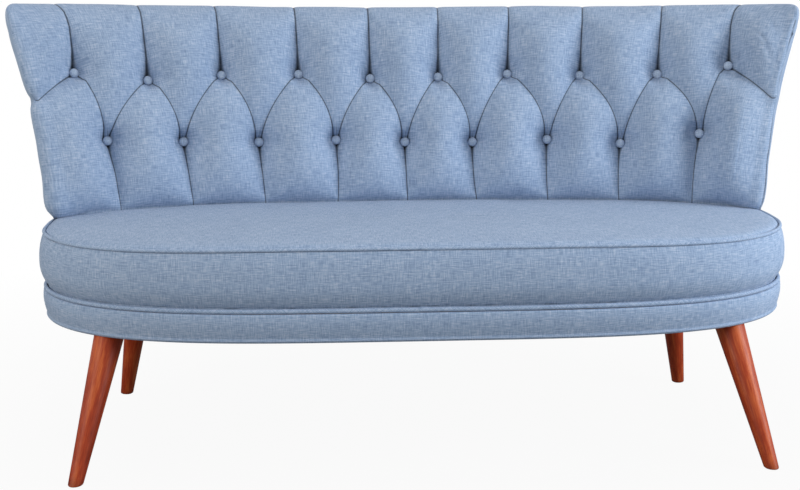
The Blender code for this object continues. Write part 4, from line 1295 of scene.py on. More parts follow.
@dataclass
class BackPad(Maker):
    """Tufted pad with rolled top edge and wings, one piece of cloth with a pocket for the frame."""

    form: BackForm
    tufting: Tufting
    pocket_top: float
    pocket_depth: float = 0.0330
    pocket_share: float = FRAME_SHARE
    lip_nudges: Pair = (0.0006, 0.0012)
    last_turn: float = 88.0
    least_rise: float = 0.010
    pitch: float = 0.0020
    edge_turns: int = 11
    roll_steps: int = 34
    rear_steps: int = 5
    pocket_steps: int = 40
    seat_gap: float = 0.0012
    roll_run: Pair = (-0.020, 0.050)
    roll_calm: float = 0.40
    crown_reach: float = 0.0090
    crown_calm: float = 0.75
    foot_slope: float = 0.74
    foot_power: float = 0.85
    foot_blend: float = 0.0034
    softened: float = 0.008
    soften_rounds: int = 30

    def columns(self) -> tuple[Array, Array]:
        """Share and edge angle of every column, from the left wing's tip to the right one's."""
        steps = int(2 * self.form.length / self.pitch)
        inner = np.linspace(-1.0, 1.0, steps)
        lips = [side * (self.pocket_share + nudge)
                for side in (-1, 1) for nudge in self.lip_nudges]
        lip = np.interp(lips, self.form.shares_behind, self.form.face_shares)
        inner = np.sort(np.concatenate([inner, lip]))
        turns = np.radians(np.linspace(0.0, self.last_turn, self.edge_turns + 1)[1:])
        tip = np.ones(self.edge_turns)
        share = np.concatenate([-tip, inner, tip])
        angle = np.concatenate([turns[::-1], np.zeros(len(inner)), turns])
        return share, angle

    def face(self, share: Array, angle: Array, z: Array, half: float) -> Array:
        """Plain front or outside face, with the wing edges turned."""
        form = self.form
        plain = form.front(share, z) if half > 0 else form.outer(form.behind(share), z)
        for hand in Hand:
            turned = (angle > 0) & (np.sign(share) == hand.value)
            if turned.any():
                plain[turned] = form.wing(hand.value, angle[turned], z[turned], half)
        return plain

    def build(self) -> Piece:
        """Make the pad.

        Returns:
            The finished pad.
        """
        form = self.form
        share, angle = self.columns()
        radius = form.edge_radius()
        margin = np.where(angle > 0, form.edge_run * (1 - np.sin(angle)),
                          (1 - np.abs(share)) * form.length + form.edge_run)
        crest = form.crest(share) - form.corner_drop(margin)
        shoulder = np.minimum(form.shoulder, crest - self.least_rise)
        rise = crest - shoulder
        level, side = share * form.length, np.sign(share)
        u_front = level + side * angle * radius
        u_rear = np.where(angle > 0, level + side * (math.pi - angle) * radius, level)
        rows, cloth = [], []
        front_rows = int((form.shoulder - form.bottom) / self.pitch)
        for t in np.linspace(0.0, 1.0, front_rows):
            z = form.bottom + t * (shoulder - form.bottom)
            rows.append(self.face(share, angle, z, 1.0))
            cloth.append(np.stack([u_front, z], axis=1))
        thickness = np.linalg.norm(rows[-1] - self.face(share, angle, shoulder, -1.0), axis=1)
        run = math.pi / 2 * (thickness / 2 + rise) / 2
        for turn in np.linspace(0.0, math.pi, self.roll_steps + 2)[1:]:
            mix = (1 - math.cos(turn)) / 2
            z = shoulder + rise * math.sin(turn)
            front, rear = (self.face(share, angle, z, half) for half in (1.0, -1.0))
            rows.append(front * (1 - mix) + rear * mix)
            u = u_front * (1 - mix) + np.where(angle > 0, u_rear, u_front) * mix
            cloth.append(np.stack([u, shoulder + 2 * run * turn / math.pi], axis=1))
        behind = shoulder + 2 * run
        for t in np.linspace(0.0, 1.0, self.rear_steps + 1)[1:]:
            z = shoulder + t * (self.pocket_top - shoulder)
            rows.append(self.face(share, angle, z, -1.0))
            cloth.append(np.stack([u_rear, behind + t * (shoulder - self.pocket_top)], axis=1))
        inside = np.abs(form.behind(share)) < self.pocket_share + sum(self.lip_nudges) / 2
        for t in np.linspace(0.0, 1.0, self.pocket_steps):
            z = np.full_like(share, self.pocket_top + t * (form.bottom - self.pocket_top))
            wall = form.outer(form.behind(share), z, self.pocket_depth)
            outside = self.face(share, angle, z, -1.0)
            rows.append(np.where(inside[:, None], wall, outside))
            down = (1 + t) * (shoulder - self.pocket_top)
            cloth.append(np.stack([u_rear, behind + down], axis=1))
        points, flat = np.array(rows), np.array(cloth)
        self.soften(points[:front_rows + self.roll_steps], u_front)
        points, gap, signed = self.tuft(points, flat, front_rows, angle, float(np.median(behind)))
        flat = np.concatenate([flat, flat[:1]], axis=0)
        piece = grid_piece("tufted_back_pad", points, flat, wrap_rows=True, cap_cols=True)
        # These attributes are read by the painted shade along the pleats in the tufted linen
        for name, values in ((PLEAT_GAP, gap), (PLEAT_SIDE, signed)):
            layer = piece.data.attributes.new(name, "FLOAT", "POINT")
            layer.data.foreach_set("value", values.astype(np.float32).ravel())
        dress(piece, self.finishes.tufted, "sofa_fabric", "back_pad")
        return piece

    def soften(self, points: Array, across: Array) -> None:
        """Round off the line where the face turns into the wing edges.

        Args:
            points: The plain pad's shown rows, changed in place.
            across: Cloth coordinate of every column.
        """
        beside = (np.abs(across) - self.form.length + 0.003) / self.softened
        share = np.exp(-beside ** 2)[1:-1, None]
        for _ in range(self.soften_rounds):
            middle = (points[:, :-2] + points[:, 2:]) / 2
            points[:, 1:-1] += 0.9 * share * (middle - points[:, 1:-1])

    def tuft(self, points: Array, flat: Array, front_rows: int, angle: Array,
             crest_run: float) -> tuple[Array, Array, Array]:
        """Press the pleats and hollows into the face and the roll.

        Args:
            points: The plain pad's grid.
            flat: Its flat cloth coordinates.
            front_rows: Number of rows of the front face.
            angle: Edge angle of every column.
            crest_run: Cloth coordinate of the seam behind the crest.

        Returns:
            The moved points, and every point's distance from a pleat, plain and signed.
        """
        form = self.form
        shown = front_rows + self.roll_steps + 1
        normal = unit(np.cross(np.gradient(points, axis=1), np.gradient(points, axis=0)))
        height, gap, signed = self.tufting.relief(flat[:shown].reshape(-1, 2), crest_run)
        height, gap, signed = (values.reshape(shown, -1) for values in (height, gap, signed))
        w = flat[:shown, :, 1]
        roll_start, roll_end = (form.shoulder + step for step in self.roll_run)
        height *= 1 - self.roll_calm * ease(w, roll_start, roll_end)
        height *= 1 - ease(w, roll_end, crest_run)
        share = np.clip(flat[:shown, :, 0] / form.length, -1.0, 1.0)
        foot = form.foot_sink(share)
        reach = self.crown_reach * (1 - self.crown_calm * ease(np.abs(share), 0.90, 1.0))
        above = np.maximum(w - form.bottom - reach, 0.0)
        limit = self.foot_slope * above ** self.foot_power - foot - self.seat_gap
        blend = self.foot_blend
        height = -blend * np.logaddexp(-height / blend, -limit / blend)
        moved = points.copy()
        tip = np.sin(angle) ** 2
        edge = np.where(np.arange(len(angle)) < len(angle) / 2, 0, len(angle) - 1)
        for row in range(len(points)):
            if row < front_rows:
                push = height[row]
            elif row < shown:
                over = ease(np.array((row - front_rows) / self.roll_steps), 0.4, 1.0)
                push = height[row] * (1 - over) + height[front_rows - 1, edge] * tip * over
            else:
                level = np.clip(points[row, :, 2], form.bottom, form.shoulder)
                beside = (level - form.bottom) / (form.shoulder - form.bottom) * (front_rows - 1)
                push = height[np.clip(beside.round().astype(int), 0, front_rows - 1), edge] * tip
            moved[row] += normal[row] * push[:, None]
        moved[..., 2] = np.maximum(moved[..., 2], form.bottom)
        # Keeps the painted pleat shade off the wing tips' closing columns
        gap[:, [0, -1]] = signed[:, [0, -1]] = FAR_FROM_PLEATS
        far = np.full((len(points) - shown, points.shape[1]), FAR_FROM_PLEATS)
        return moved, np.concatenate([gap, far]), np.concatenate([signed, far])


@dataclass
class CoveredButton(Maker):
    """Dome button in a paler copy of the cover's linen, its paleness painted light, gathered at its
    rim.
    """

    radius: float = 0.0084
    height: float = 0.0074
    sides: int = 40
    gathers: int = 11
    gathered_at: float = 0.3
    ripple: Pair = (0.022, 0.012)

    def build(self, name: str, node: str, centre: Array, axis: Array,
              seed: int) -> Piece:
        """Make one button.

        Args:
            name: The piece's name.
            node: The node that it replaces.
            centre: Its centre.
            axis: Direction out of the pad.
            seed: Number that picks its gathers and its tilt.

        Returns:
            The finished button.
        """
        rng = np.random.default_rng(seed)
        turns = np.arange(self.sides) * math.tau / self.sides
        phase = rng.uniform(0, math.tau)
        rows = []
        for share, rise in BUTTON_PROFILE:
            above = rise - self.gathered_at
            fine, broad = self.ripple
            ripple = fine * np.cos(self.gathers * turns + phase) * math.exp(-(above / 0.25) ** 2)
            ripple += broad * np.cos(5 * turns + 2 * phase) * math.exp(-(above / 0.3) ** 2)
            radius = self.radius * share * (1 + ripple)
            rows.append(np.stack([radius * np.cos(turns), radius * np.sin(turns),
                                  np.full_like(turns, self.height * (rise - 0.5))], axis=1))
        points = np.array(rows)
        flat = np.concatenate([points[..., :2], points[:, :1, :2]], axis=1) + rng.uniform(0, 1, 2)
        tilt = Vector(axis) + Vector(rng.normal(0, 0.05, 3))
        turn = Vector((0, 0, 1)).rotation_difference(tilt).to_matrix()
        placed = points @ np.array(turn).T + centre
        piece = grid_piece(name, placed, flat, wrap_cols=True, cap_rows=True)
        return dress(piece, self.finishes.button, "button_fabric", node)


@dataclass
class SeatDrum(Maker):
    """Seat cushion with its crown and boxing, the welt and piping round it, and the band below."""

    drum: DrumOutline
    form: BackForm
    count: int = 720
    belly: float = 0.0068
    belly_level: float = 0.44
    low_tuck: float = 0.0128
    high_tuck: float = 0.0078
    rebate: float = 0.0063
    seam: float = 0.0003
    seam_runs: Pair = (0.010, 0.012)
    seam_draw: float = 0.0006
    boxing_rows: int = 31
    edge_steps: tuple[float, ...] = (0.0, 0.0007, 0.0016, 0.0028, 0.0044, 0.0064, 0.009, 0.012,
                                     0.016)
    crown_insets: tuple[float, float, int] = (0.027, 0.238, 54)
    edge_run: float = 0.0045
    rim_lip: float = 0.0022
    rim_rise: float = 0.0060
    crown_rise: float = 0.008
    edge_puff: float = 0.0068
    welt_radius: float = 0.0030
    band_bow: float = 0.0068
    band_crest: float = 0.28
    band_out: float = 0.0026

    def cloth_rings(self, runs: list[float]) -> Array:
        """Flat coordinates of rings, by the distance round and a run across them."""
        around = np.append(self.drum.stations(self.count), 2 * self.drum.half_perimeter)
        return np.array([np.column_stack([around, np.full_like(around, run)]) for run in runs])

    def lift_rim(self, points: Array) -> Array:
        """Raise the seat's top edge a little in the middle of its front, as the stuffing does."""
        foot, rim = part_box("seat_lower_piping")[1].z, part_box("seat_top_welt")[0].z
        x, y, z = np.moveaxis(points, -1, 0)
        share = ease(z, foot, rim) * ease(-y, -0.020, 0.200) * (1 - ease(np.abs(x), 0.18, 0.60))
        return points + np.stack([0 * x, 0 * x, self.rim_rise * share], axis=-1)

    def build_cushion(self, slot_bottom: float, slot_top: float) -> Piece:
        """Make the cushion, with its crown cut back for the sofa's back.

        Args:
            slot_bottom: Height below which the slot for the back's rail starts.
            slot_top: Height above which that slot ends.

        Returns:
            The finished cushion.
        """
        stations = self.drum.stations(self.count)
        boxing_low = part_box("seat_lower_piping")[1].z + self.seam
        boxing_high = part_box("seat_top_welt")[0].z - self.seam
        runs = [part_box("seat_cushion")[0].z, boxing_low]
        rings = [self.drum.ring(self.count, self.rebate, z) for z in runs]
        height = boxing_high - boxing_low
        low_run, high_run = self.seam_runs
        for t in np.linspace(0.0, 1.0, self.boxing_rows):
            z = boxing_low + height * t
            seam = np.exp(-t * height / low_run) + np.exp(-(1 - t) * height / high_run)
            level = np.full_like(stations, 10 * round(t))
            pucker = 0.0007 * seam * soft_noise(stations, level, 0.013, 5)
            wave = 0.0006 * soft_noise(stations, np.full_like(stations, z), 0.09, 6)
            below = max(0.0, 1 - t / self.belly_level)
            above = max(0.0, (t - self.belly_level) / (1 - self.belly_level))
            tuck = self.low_tuck * below ** 2.2 + self.high_tuck * above ** 2.4
            bulge = self.belly - tuck - self.seam_draw * seam
            out = bulge + pucker + wave * math.sin(math.pi * t)
            rings.append(self.drum.ring(self.count, -out, z))
            runs.append(z)
        turned = self.rebate + np.array(self.edge_steps)
        insets = np.concatenate([turned, np.linspace(*self.crown_insets)])
        rings.append(self.drum.ring(self.count, self.rebate, boxing_high))
        runs.append(boxing_high + self.rebate)
        for inset in insets:
            shrink = inset > 0.011
            past = inset - self.rebate
            rise = self.edge_puff * (1 - math.exp(-past / self.edge_run)) + self.rim_lip
            rise += self.crown_rise * (1 - (1 - inset / self.drum.half_depth) ** 2)
            plan = self.drum.point(stations, inset, shrink)
            pucker = soft_noise(stations, np.full_like(stations, past), 0.016, 8)
            pucker *= 0.0009 * math.exp(-past / 0.017)
            wave = 0.0009 * soft_noise(plan[:, 0], plan[:, 1], 0.11, 9)
            wave += 0.0004 * soft_noise(plan[:, 0], plan[:, 1], 0.035, 10)
            ring = self.drum.ring(self.count, inset, 0.0, shrink)
            ring[:, 2] = boxing_high + rise + pucker + wave * ease(np.array(past), 0.0, 0.03)
            rings.append(ring)
            runs.append(boxing_high + self.rebate + past)
        points = self.lift_rim(np.array(rings))
        flat = self.cloth_rings(runs)
        top = len(rings) - len(insets)
        plan = np.concatenate([points, points[:, :1]], axis=1)[..., :2]
        flat[top:] = plan[top:] + np.array([3.0, 1.0])
        piece = grid_piece("seat_cushion_cover", points, flat, wrap_cols=True, cap_rows=True)
        self.cut_back(piece, slot_bottom, slot_top)
        dress(piece, self.finishes.cover, "sofa_fabric", "seat_cushion")
        return piece

    def cut_back(self, piece: Piece, slot_bottom: float, slot_top: float) -> None:
        """Cut the level step on which the back stands, and the slot for its bottom rail.

        Args:
            piece: The cushion.
            slot_bottom: Height of the slot's underside.
            slot_top: Height of the slot's top.
        """
        form = self.form
        share = np.linspace(-1.0, 1.0, 161)
        level = np.full_like(share, form.bottom)
        front = form.front(share, level, form.foot_sink(share))[:, :2]
        turns = np.radians(np.linspace(0.0, 85.0, 8)[1:])
        ends = {}
        for hand in Hand:
            z = np.full_like(turns, form.bottom)
            edge = form.wing(hand.value, turns, z, 1.0)[:, :2]
            tip = np.array([hand.value])
            middle = (form.front(tip, z[:1]) + form.outer(tip, z[:1]))[0, :2] / 2
            ends[hand] = edge - form.foot_sink(np.ones(1)) * unit(edge - middle)
        reach = self.drum.half_width + 0.05
        outline = np.vstack([ends[Hand.LEFT][::-1], front, ends[Hand.RIGHT],
                             [[reach, ends[Hand.RIGHT][-1, 1]], [reach, 0.6], [-reach, 0.6],
                              [-reach, ends[Hand.LEFT][-1, 1]]]])
        levels = (form.bottom - 0.0003, form.bottom + 0.08)
        step = np.array([np.column_stack([outline, np.full(len(outline), z)]) for z in levels])
        frame_share = FRAME_SHARE * np.linspace(-1.0, 1.0, 81)
        frame_share[[0, -1]] *= 1.0015
        rail_low, rail_high = 0.0075, 0.0275
        slab = []
        for z in (slot_bottom, slot_top):
            heights = np.full_like(frame_share, z)
            slab.append(np.vstack([form.outer(frame_share, heights, rail_low),
                                   form.outer(frame_share[::-1], heights, rail_high)]))
        for name, rings in (("back_step", step), ("rail_slot", np.array(slab))):
            flat = np.zeros((2, rings.shape[1] + 1, 2))
            cutter = grid_piece(name, rings, flat, wrap_cols=True, cap_rows=True)
            cut = piece.modifiers.new(name, "BOOLEAN")
            cut.operation = "DIFFERENCE"
            cut.solver = "EXACT"
            cut.object = cutter
            apply_all(piece)
            bpy.data.objects.remove(cutter)
        for polygon in piece.data.polygons:
            polygon.use_smooth = True
        only(piece)
        bpy.ops.object.shade_smooth_by_angle(angle=math.radians(55.0))

    def sweep(self, name: str, profile: Array, wobble: float, seed: int,
              drift: float = 0.0) -> Piece:
        """Closed band or cord round the drum.

        Args:
            name: The piece's name.
            profile: Section as rows of inset and height, in order round it.
            wobble: How far the section wanders, in metres.
            seed: Number that picks the wandering.
            drift: How far it rises and falls on its way round, in metres.

        Returns:
            The piece, not yet dressed.
        """
        stations = self.drum.stations(self.count)
        middle = profile.mean(axis=0)
        swell = 1 + wobble * soft_noise(stations, np.zeros_like(stations), 0.021, seed)
        rise = drift * soft_noise(stations, np.zeros_like(stations), 0.12, seed + 1)
        columns = []
        for inset, z in profile:
            plan = self.drum.point(stations, middle[0] + (inset - middle[0]) * swell)
            columns.append(np.column_stack([plan, middle[1] + (z - middle[1]) * swell + rise]))
        points = self.lift_rim(np.array(columns))
        run = arc_lengths(np.vstack([profile, profile[:1]]))
        around = np.append(stations, 2 * self.drum.half_perimeter)
        flat = np.stack(np.meshgrid(run, around, indexing="ij")[::-1], axis=-1)
        return grid_piece(name, points, flat, wrap_rows=True, wrap_cols=True)

    def build_welt(self) -> Piece:
        """Make the round welt cord at the seat's top edge."""
        low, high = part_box("seat_top_welt")
        middle = np.array([self.welt_radius, (low.z + high.z) / 2])
        turns = np.arange(16) * math.tau / 16
        profile = middle + self.welt_radius * np.stack([np.cos(turns), np.sin(turns)], axis=1)
        piece = self.sweep("seat_top_welt_cord", profile, 0.05, 31, 0.0003)
        return dress(piece, self.finishes.bias, "sofa_fabric", "seat_top_welt")

    def build_piping(self) -> Piece:
        """Make the half-round piping between the cushion and the band."""
        low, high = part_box("seat_lower_piping")
        half = (high.z - low.z) / 2 - 0.0002
        z = (low.z + high.z) / 2
        turns = np.linspace(-math.pi / 2, math.pi / 2, 15)
        nose = np.stack([0.0022 - 0.0036 * np.cos(turns), z + half * np.sin(turns)], axis=1)
        profile = np.vstack([nose, [[0.004, z + half], [0.004, z - half]]])
        piece = self.sweep("seat_lower_piping_cord", profile, 0.04, 41, 0.0003)
        dress(piece, self.finishes.bias, "sofa_fabric", "seat_lower_piping")
        return piece

    def build_band(self) -> Piece:
        """Make the padded band round the base, its lower edge turned under."""
        low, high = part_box("base_band")
        rows = [(inset, high.z + up) for inset, up in BAND_TOP]
        for t in np.linspace(0.0, 1.0, 15):
            z = high.z - 0.0012 - t * (high.z - low.z - 0.0040)
            inset = self.band_bow * abs(1.25 * (t - self.band_crest)) ** 1.7 - self.band_out
            rows.append((inset, z))
        for turn in np.radians(np.linspace(12.0, 90.0, 8)):
            inset = 0.0066 - 0.0056 * math.cos(turn) + 0.0012 * turn
            rows.append((inset, low.z + 0.0024 - 0.0064 * math.sin(turn)))
        rows += [(inset, low.z + up) for inset, up in BAND_TURNED_IN]
        piece = self.sweep("base_fabric_band", np.array(rows), 0.0, 51)
        return dress(piece, self.finishes.cover, "sofa_fabric", "base_band")


@dataclass
class OutsideBack(Maker):
    """Smooth padded panel over the rear of the frame, its edges turned in."""

    form: BackForm
    thickness: float = 0.008
    end_share: float = FRAME_SHARE
    top: float = 0.6793
    columns: int = 260
    rows: int = 64
    puff: float = 0.0020
    puff_run: float = 0.035
    tuck: float = 0.0035
    tuck_run: float = 0.004

    def build(self) -> Piece:
        """Make the panel.

        Returns:
            The finished panel.
        """
        form = self.form
        share = self.end_share * np.linspace(-1.0, 1.0, self.columns)
        heights = np.linspace(form.bottom, self.top, self.rows)
        s, z = np.meshgrid(share, heights)
        run = form.outer_run[-1]
        u = s * run
        beside = (self.end_share - np.abs(s)) * run
        edge = np.minimum.reduce([beside, z - form.bottom, self.top - z])
        puff = self.puff * (1 - np.exp(-edge / self.puff_run))
        puff -= self.tuck * np.exp(-(edge / self.tuck_run) ** 1.3)
        puff += 0.0004 * np.exp(-edge / 0.012) * soft_noise(u, z, 0.011, 61)
        puff += 0.0008 * soft_noise(u, z, 0.10, 62) * ease(edge, 0.0, 0.03)
        plain = form.outer(s, z)
        inner = form.outer(s, z, self.thickness)
        outer = plain + unit(plain - inner) * puff[..., None]
        front = np.stack([u, z], axis=-1)
        pane = np.concatenate([outer, inner[::-1]], axis=0)
        flat = np.concatenate([front, front[::-1] + np.array([0.0, 1.0])], axis=0)
        flat = np.concatenate([flat, flat[:1]], axis=0)
        piece = grid_piece("outside_back_panel", pane, flat, wrap_rows=True, cap_cols=True)
        dress(piece, self.finishes.cover, "sofa_fabric", "outside_back")
        return piece


@dataclass
class TaperedLeg(Maker):
    """Turned leg that tapers to its foot, cut level at the floor and under its plate."""

    node: str
    sides: int = 64
    top_diameter: float = 0.049
    foot_diameter: float = 0.023
    spare: float = 0.05
    foot_rounding: float = 0.0026
    level: float = 0.0005
    grain_shift: float = 3.0

    def axis(self) -> tuple[Vector, Vector]:
        """Centre of the leg's foot and the direction up its length, measured on its node."""
        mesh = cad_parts[self.node].data
        places = np.array([v.co for v in mesh.vertices])
        foot = places[places[:, 2] < self.level].mean(axis=0)
        top = places[places[:, 2] > places[:, 2].max() - self.level]
        away = np.linalg.norm(top[:, :2] - top[:, :2].mean(axis=0), axis=1)
        rim = top[away > self.top_diameter * 0.35]
        centre = (rim.min(axis=0) + rim.max(axis=0)) / 2
        return Vector(foot), (Vector(centre) - Vector(foot)).normalized()

    def build(self) -> Piece:
        """Turn the leg about its axis, cut it level and round its foot.

        Returns:
            The finished leg.
        """
        foot, axis = self.axis()
        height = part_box(self.node)[1].z
        length = height / axis.z
        slope = (self.top_diameter - self.foot_diameter) / 2 / length
        turn = Vector((0, 0, 1)).rotation_difference(axis)
        middle = foot + axis * (length / 2)
        bpy.ops.object.select_all(action="DESELECT")
        bpy.ops.mesh.primitive_cone_add(
            vertices=self.sides, radius1=self.foot_diameter / 2 - slope * self.spare,
            radius2=self.top_diameter / 2 + slope * self.spare, depth=length + 2 * self.spare,
            location=middle, rotation=turn.to_euler())
        leg = bpy.context.active_object
        leg.name = leg.data.name = self.node + "_turned"
        bpy.ops.object.transform_apply(location=True, rotation=True, scale=True)
        bpy.ops.object.mode_set(mode="EDIT")
        for level, below in ((0.0, True), (height, False)):
            bpy.ops.mesh.select_all(action="SELECT")
            bpy.ops.mesh.bisect(plane_co=(0, 0, level), plane_no=(0, 0, 1), use_fill=True,
                                clear_inner=below, clear_outer=not below)
        bpy.ops.object.mode_set(mode="OBJECT")
        for edge in leg.data.edges:
            edge.select = all(abs(leg.data.vertices[i].co.z) < 1e-4 for i in edge.vertices)
        bpy.ops.object.mode_set(mode="EDIT")
        bpy.ops.mesh.select_mode(type="EDGE")
        bpy.ops.mesh.bevel(offset=self.foot_rounding, segments=4, profile=0.5)
        bpy.ops.object.mode_set(mode="OBJECT")
        self.remember_turning(leg, foot, turn)
        only(leg)
        bpy.ops.object.shade_smooth_by_angle(angle=math.radians(40.0))
        return dress(leg, self.finishes.legs, "leg_wood", self.node)

    def remember_turning(self, leg: Piece, foot: Vector, turn: Matrix) -> None:
        """Keep each point's place in the leg's own frame, for the grain.

        Args:
            leg: The leg.
            foot: Centre of its foot.
            turn: Turn from upright to the leg's axis.
        """
        back = turn.inverted()
        offset = Vector((foot.x, foot.y * self.grain_shift, 0.0))
        layer = leg.data.attributes.new(TURNED_MAP, "FLOAT_VECTOR", "POINT")
        for vertex, value in zip(leg.data.vertices, layer.data):
            value.vector = back @ (vertex.co - foot) + offset


@dataclass
class DustCover(Maker):
    """Black cloth that closes the base from below, tacked round its edge."""

    drum: DrumOutline
    count: int = 240
    inset: float = 0.0086
    sag: float = 0.0003

    def build(self) -> Piece:
        """Make the cloth.

        Returns:
            The finished cloth.
        """
        low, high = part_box("dust_cover")
        rings = []
        stations = self.drum.stations(self.count)
        insets = [*(self.inset + step for step in (0.0, 0.006, 0.02, 0.05)), 0.11, 0.17, 0.23]
        for surface, z in ((0, high.z - 0.0001), (1, high.z - 0.0007)):
            sheet = []
            for number, depth in enumerate(insets):
                level = np.full_like(stations, depth)
                sag = -self.sag * (1 + soft_noise(stations, level, 0.05, 71)) * (number > 0)
                ring = self.drum.ring(self.count, depth, 0.0, shrink=True)
                ring[:, 2] = z + sag * surface
                sheet.append(ring)
            rings += sheet[::-1] if surface == 0 else sheet
        points = np.array(rings)
        flat = np.concatenate([points, points[:, :1]], axis=1)[..., :2]
        piece = grid_piece("dust_cloth_sheet", points, flat, wrap_cols=True, cap_rows=True)
        dress(piece, self.finishes.dust, "dust_cloth", "dust_cover")
        width, depth = high.x - low.x, high.y - low.y
        return (piece, self.area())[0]

    def area(self) -> float:
        """Flat area of the squared oval, in square metres."""
        outline = self.drum.point(self.drum.stations(400), self.inset, True)
        x, y = outline.T
        return float(abs(np.dot(x, np.roll(y, 1)) - np.dot(y, np.roll(x, 1))) / 2)


@dataclass
class Loveseat:
    """The whole object: builds every sub-assembly in order."""

    finishes: Finishes = field(default_factory=Finishes)
    button_depth: float = 0.0262
    shoulder: float = 0.692
    rail_slot: Pair = (0.25, 0.42)
    pocket_play: float = 0.0005

    def __post_init__(self) -> None:
        """Read the shared outlines from the frame."""
        low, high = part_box("base_band")
        self.drum = DrumOutline(high.x, (high.y - low.y) / 2, (high.y + low.y) / 2)
        pad_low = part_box("back_pad")[0]
        self.form = BackForm(self.drum, bottom=pad_low.z, shoulder=self.shoulder)
        self.tufting = Tufting(self.form)

    def build(self) -> None:
        """Build and dress every piece."""
        self.dress_hidden_nodes()
        finishes = self.finishes
        seat = SeatDrum(finishes, self.drum, self.form)
        seat.build_cushion(*self.rail_slot)
        seat.build_welt()
        seat.build_piping()
        seat.build_band()
        pocket_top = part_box("outside_back")[1].z + self.pocket_play
        BackPad(finishes, self.form, self.tufting, pocket_top).build()
        OutsideBack(finishes, self.form).build()
        self.build_buttons()
        for end in ("front", "rear"):
            for hand in Hand:
                TaperedLeg(finishes, f"leg_{end}_{hand.name.lower()}").build()
        DustCover(finishes, self.drum).build()

    def build_buttons(self) -> None:
        """Make both rows of covered buttons, each where its hand-tied place is."""
        for row in Row:
            for button in self.tufting.buttons(row):
                u, z = self.tufting.spot(button)
                step = 0.01
                near = np.array([u, u + step, u]) / self.form.length
                spots = self.form.front(near, np.array([z, z, z + step]))
                axis = unit(np.cross(spots[1] - spots[0], spots[2] - spots[0]))
                node = f"button_{row.value}_{button.number:02d}"
                seed = 100 * button.number + len(row.value)
                centre = spots[0] - axis * self.button_depth
                maker = CoveredButton(self.finishes)
                maker.build("covered_" + node, node, centre, axis, seed)

    def dress_hidden_nodes(self) -> None:
        """Give the frame, fixings and straps their finishes."""
        finishes = self.finishes
        kinds = ((("leg_plate_", "leg_bolt_", "back_bolt_"), finishes.steel),
                 ("back_board", finishes.plywood), ("webbing_", finishes.strap),
                 ("base_band", finishes.cover),
                 (("leg_block_", "base_", "back_post", "back_bottom", "back_top"),
                  finishes.timber))
        for name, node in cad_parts.items():
            for starts, material in kinds:
                if name.startswith(starts):
                    node.data.materials.clear()
                    node.data.materials.append(material)
                    break


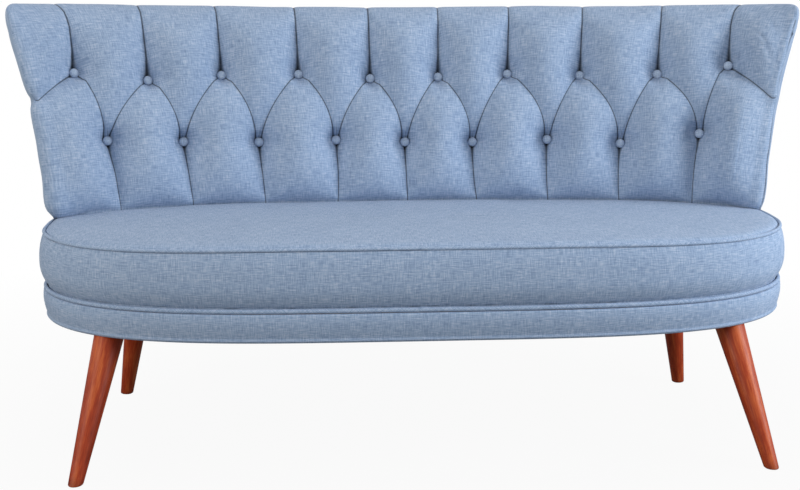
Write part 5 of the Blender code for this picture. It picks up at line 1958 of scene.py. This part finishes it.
@dataclass
class Studio:
    """Pale floor, soft lamps and the camera at the photo's place."""

    shift_y: float
    place: Triple = (-0.2106, -2.527, 0.843)
    focal_mm: float = 67.5
    sensor_mm: float = 36.0
    yaw: float = math.radians(-4.105)
    pitch: float = math.radians(-11.45)
    lamp_size: float = 1.6
    aim_height: float = 0.45
    fill_light: float = 0.57
    floor_paint: float = 0.20
    floor_open: tuple[float, ...] = (0.5, 1.6, 0.94, 1.0)

    def build(self) -> None:
        """Set up the whole stage."""
        self.build_camera()
        self.build_floor()
        self.build_lamps()
        self.build_world()

    def build_camera(self) -> None:
        """Camera at the photo's viewing angle."""
        data = bpy.data.cameras.new("photo_camera")
        data.sensor_width = self.sensor_mm
        data.lens = self.focal_mm
        data.clip_end = 60.0
        camera = bpy.data.objects.new("photo_camera", data)
        across, back, height = self.place
        camera.location = (across, back + self.shift_y, height)
        camera.rotation_euler = (math.pi / 2 + self.pitch, 0.0, self.yaw)
        bpy.context.scene.collection.objects.link(camera)
        bpy.context.scene.camera = camera

    def build_floor(self) -> None:
        """Plain pale floor that keeps the loveseat's shadow."""
        bpy.ops.object.select_all(action="DESELECT")
        bpy.ops.mesh.primitive_plane_add(size=14.0, location=(0, 0, -0.0005))
        floor = bpy.context.active_object
        floor.name = "studio_floor"
        n = Nodes("studio_floor_paint")
        n.surface({"Base Color": (*(3 * [self.floor_paint]), 1.0), "Roughness": 0.9})
        path = n.add("ShaderNodeLightPath")
        glow = n.add("ShaderNodeEmission")
        glow.inputs["Color"].default_value = WHITE
        away = n.add("ShaderNodeVectorMath", operation="LENGTH")
        n.join(n.object_place(), away.inputs[0])
        open_floor = n.between(away.outputs["Value"], *self.floor_open)
        mix = n.add("ShaderNodeMixShader")
        n.join(n.calc("MULTIPLY", path.outputs["Is Camera Ray"], open_floor), mix.inputs["Fac"])
        n.join(n.shader.outputs["BSDF"], mix.inputs[1])
        n.join(glow.outputs["Emission"], mix.inputs[2])
        output = n.material.node_tree.nodes["Material Output"]
        n.join(mix.outputs["Shader"], output.inputs["Surface"])
        floor.data.materials.append(n.material)

    def build_lamps(self) -> None:
        """Large soft lamps, one at each side and a weak one above."""
        warm, cool, neutral = (1.0, 0.94, 0.84), (0.91, 0.96, 1.0), (1.0, 1.0, 1.0)
        lamps = (("right_lamp", (2.6, -0.9, 1.2), 66.0, cool),
                 ("left_lamp", (-2.4, -1.7, 1.3), 32.0, warm),
                 ("top_lamp", (0.0, -1.1, 2.8), 6.0, neutral))
        for name, place, power, colour in lamps:
            data = bpy.data.lights.new(name, "AREA")
            data.shape, data.size, data.energy, data.color = "DISK", self.lamp_size, power, colour
            lamp = bpy.data.objects.new(name, data)
            lamp.location = place
            aim = Vector((0.0, 0.0, self.aim_height)) - Vector(place)
            lamp.rotation_euler = aim.to_track_quat("-Z", "Y").to_euler()
            bpy.context.scene.collection.objects.link(lamp)

    def build_world(self) -> None:
        """White surroundings that light softly and show white behind the loveseat."""
        world = bpy.data.worlds.new("studio_world")
        world.use_nodes = True
        tree = world.node_tree
        background = tree.nodes["Background"]
        background.inputs["Color"].default_value = WHITE
        path = tree.nodes.new("ShaderNodeLightPath")
        total = path.outputs["Is Camera Ray"]
        for key in ("Is Glossy Ray", "Is Transmission Ray"):
            add = tree.nodes.new("ShaderNodeMath")
            add.operation = "MAXIMUM"
            tree.links.new(total, add.inputs[0])
            tree.links.new(path.outputs[key], add.inputs[1])
            total = add.outputs[0]
        strength = tree.nodes.new("ShaderNodeMapRange")
        strength.inputs["To Min"].default_value = self.fill_light
        strength.inputs["To Max"].default_value = 1.0
        tree.links.new(total, strength.inputs["Value"])
        tree.links.new(strength.outputs["Result"], background.inputs["Strength"])
        bpy.context.scene.world = world


def plain(box: object) -> list[list[float]]:
    """Box corners as plain lists of numbers."""
    return [[float(number) for number in corner] for corner in box]


def main() -> None:
    """Build the loveseat round its frame and set the stage."""
    logging.basicConfig(level=logging.INFO, format="%(name)s %(message)s")
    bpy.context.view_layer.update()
    bpy.context.scene.view_settings.view_transform = "Standard"
    loveseat = Loveseat()
    loveseat.build()
    Studio(shift_y=loveseat.form.shift).build()


if __name__ == "__main__":
    main()
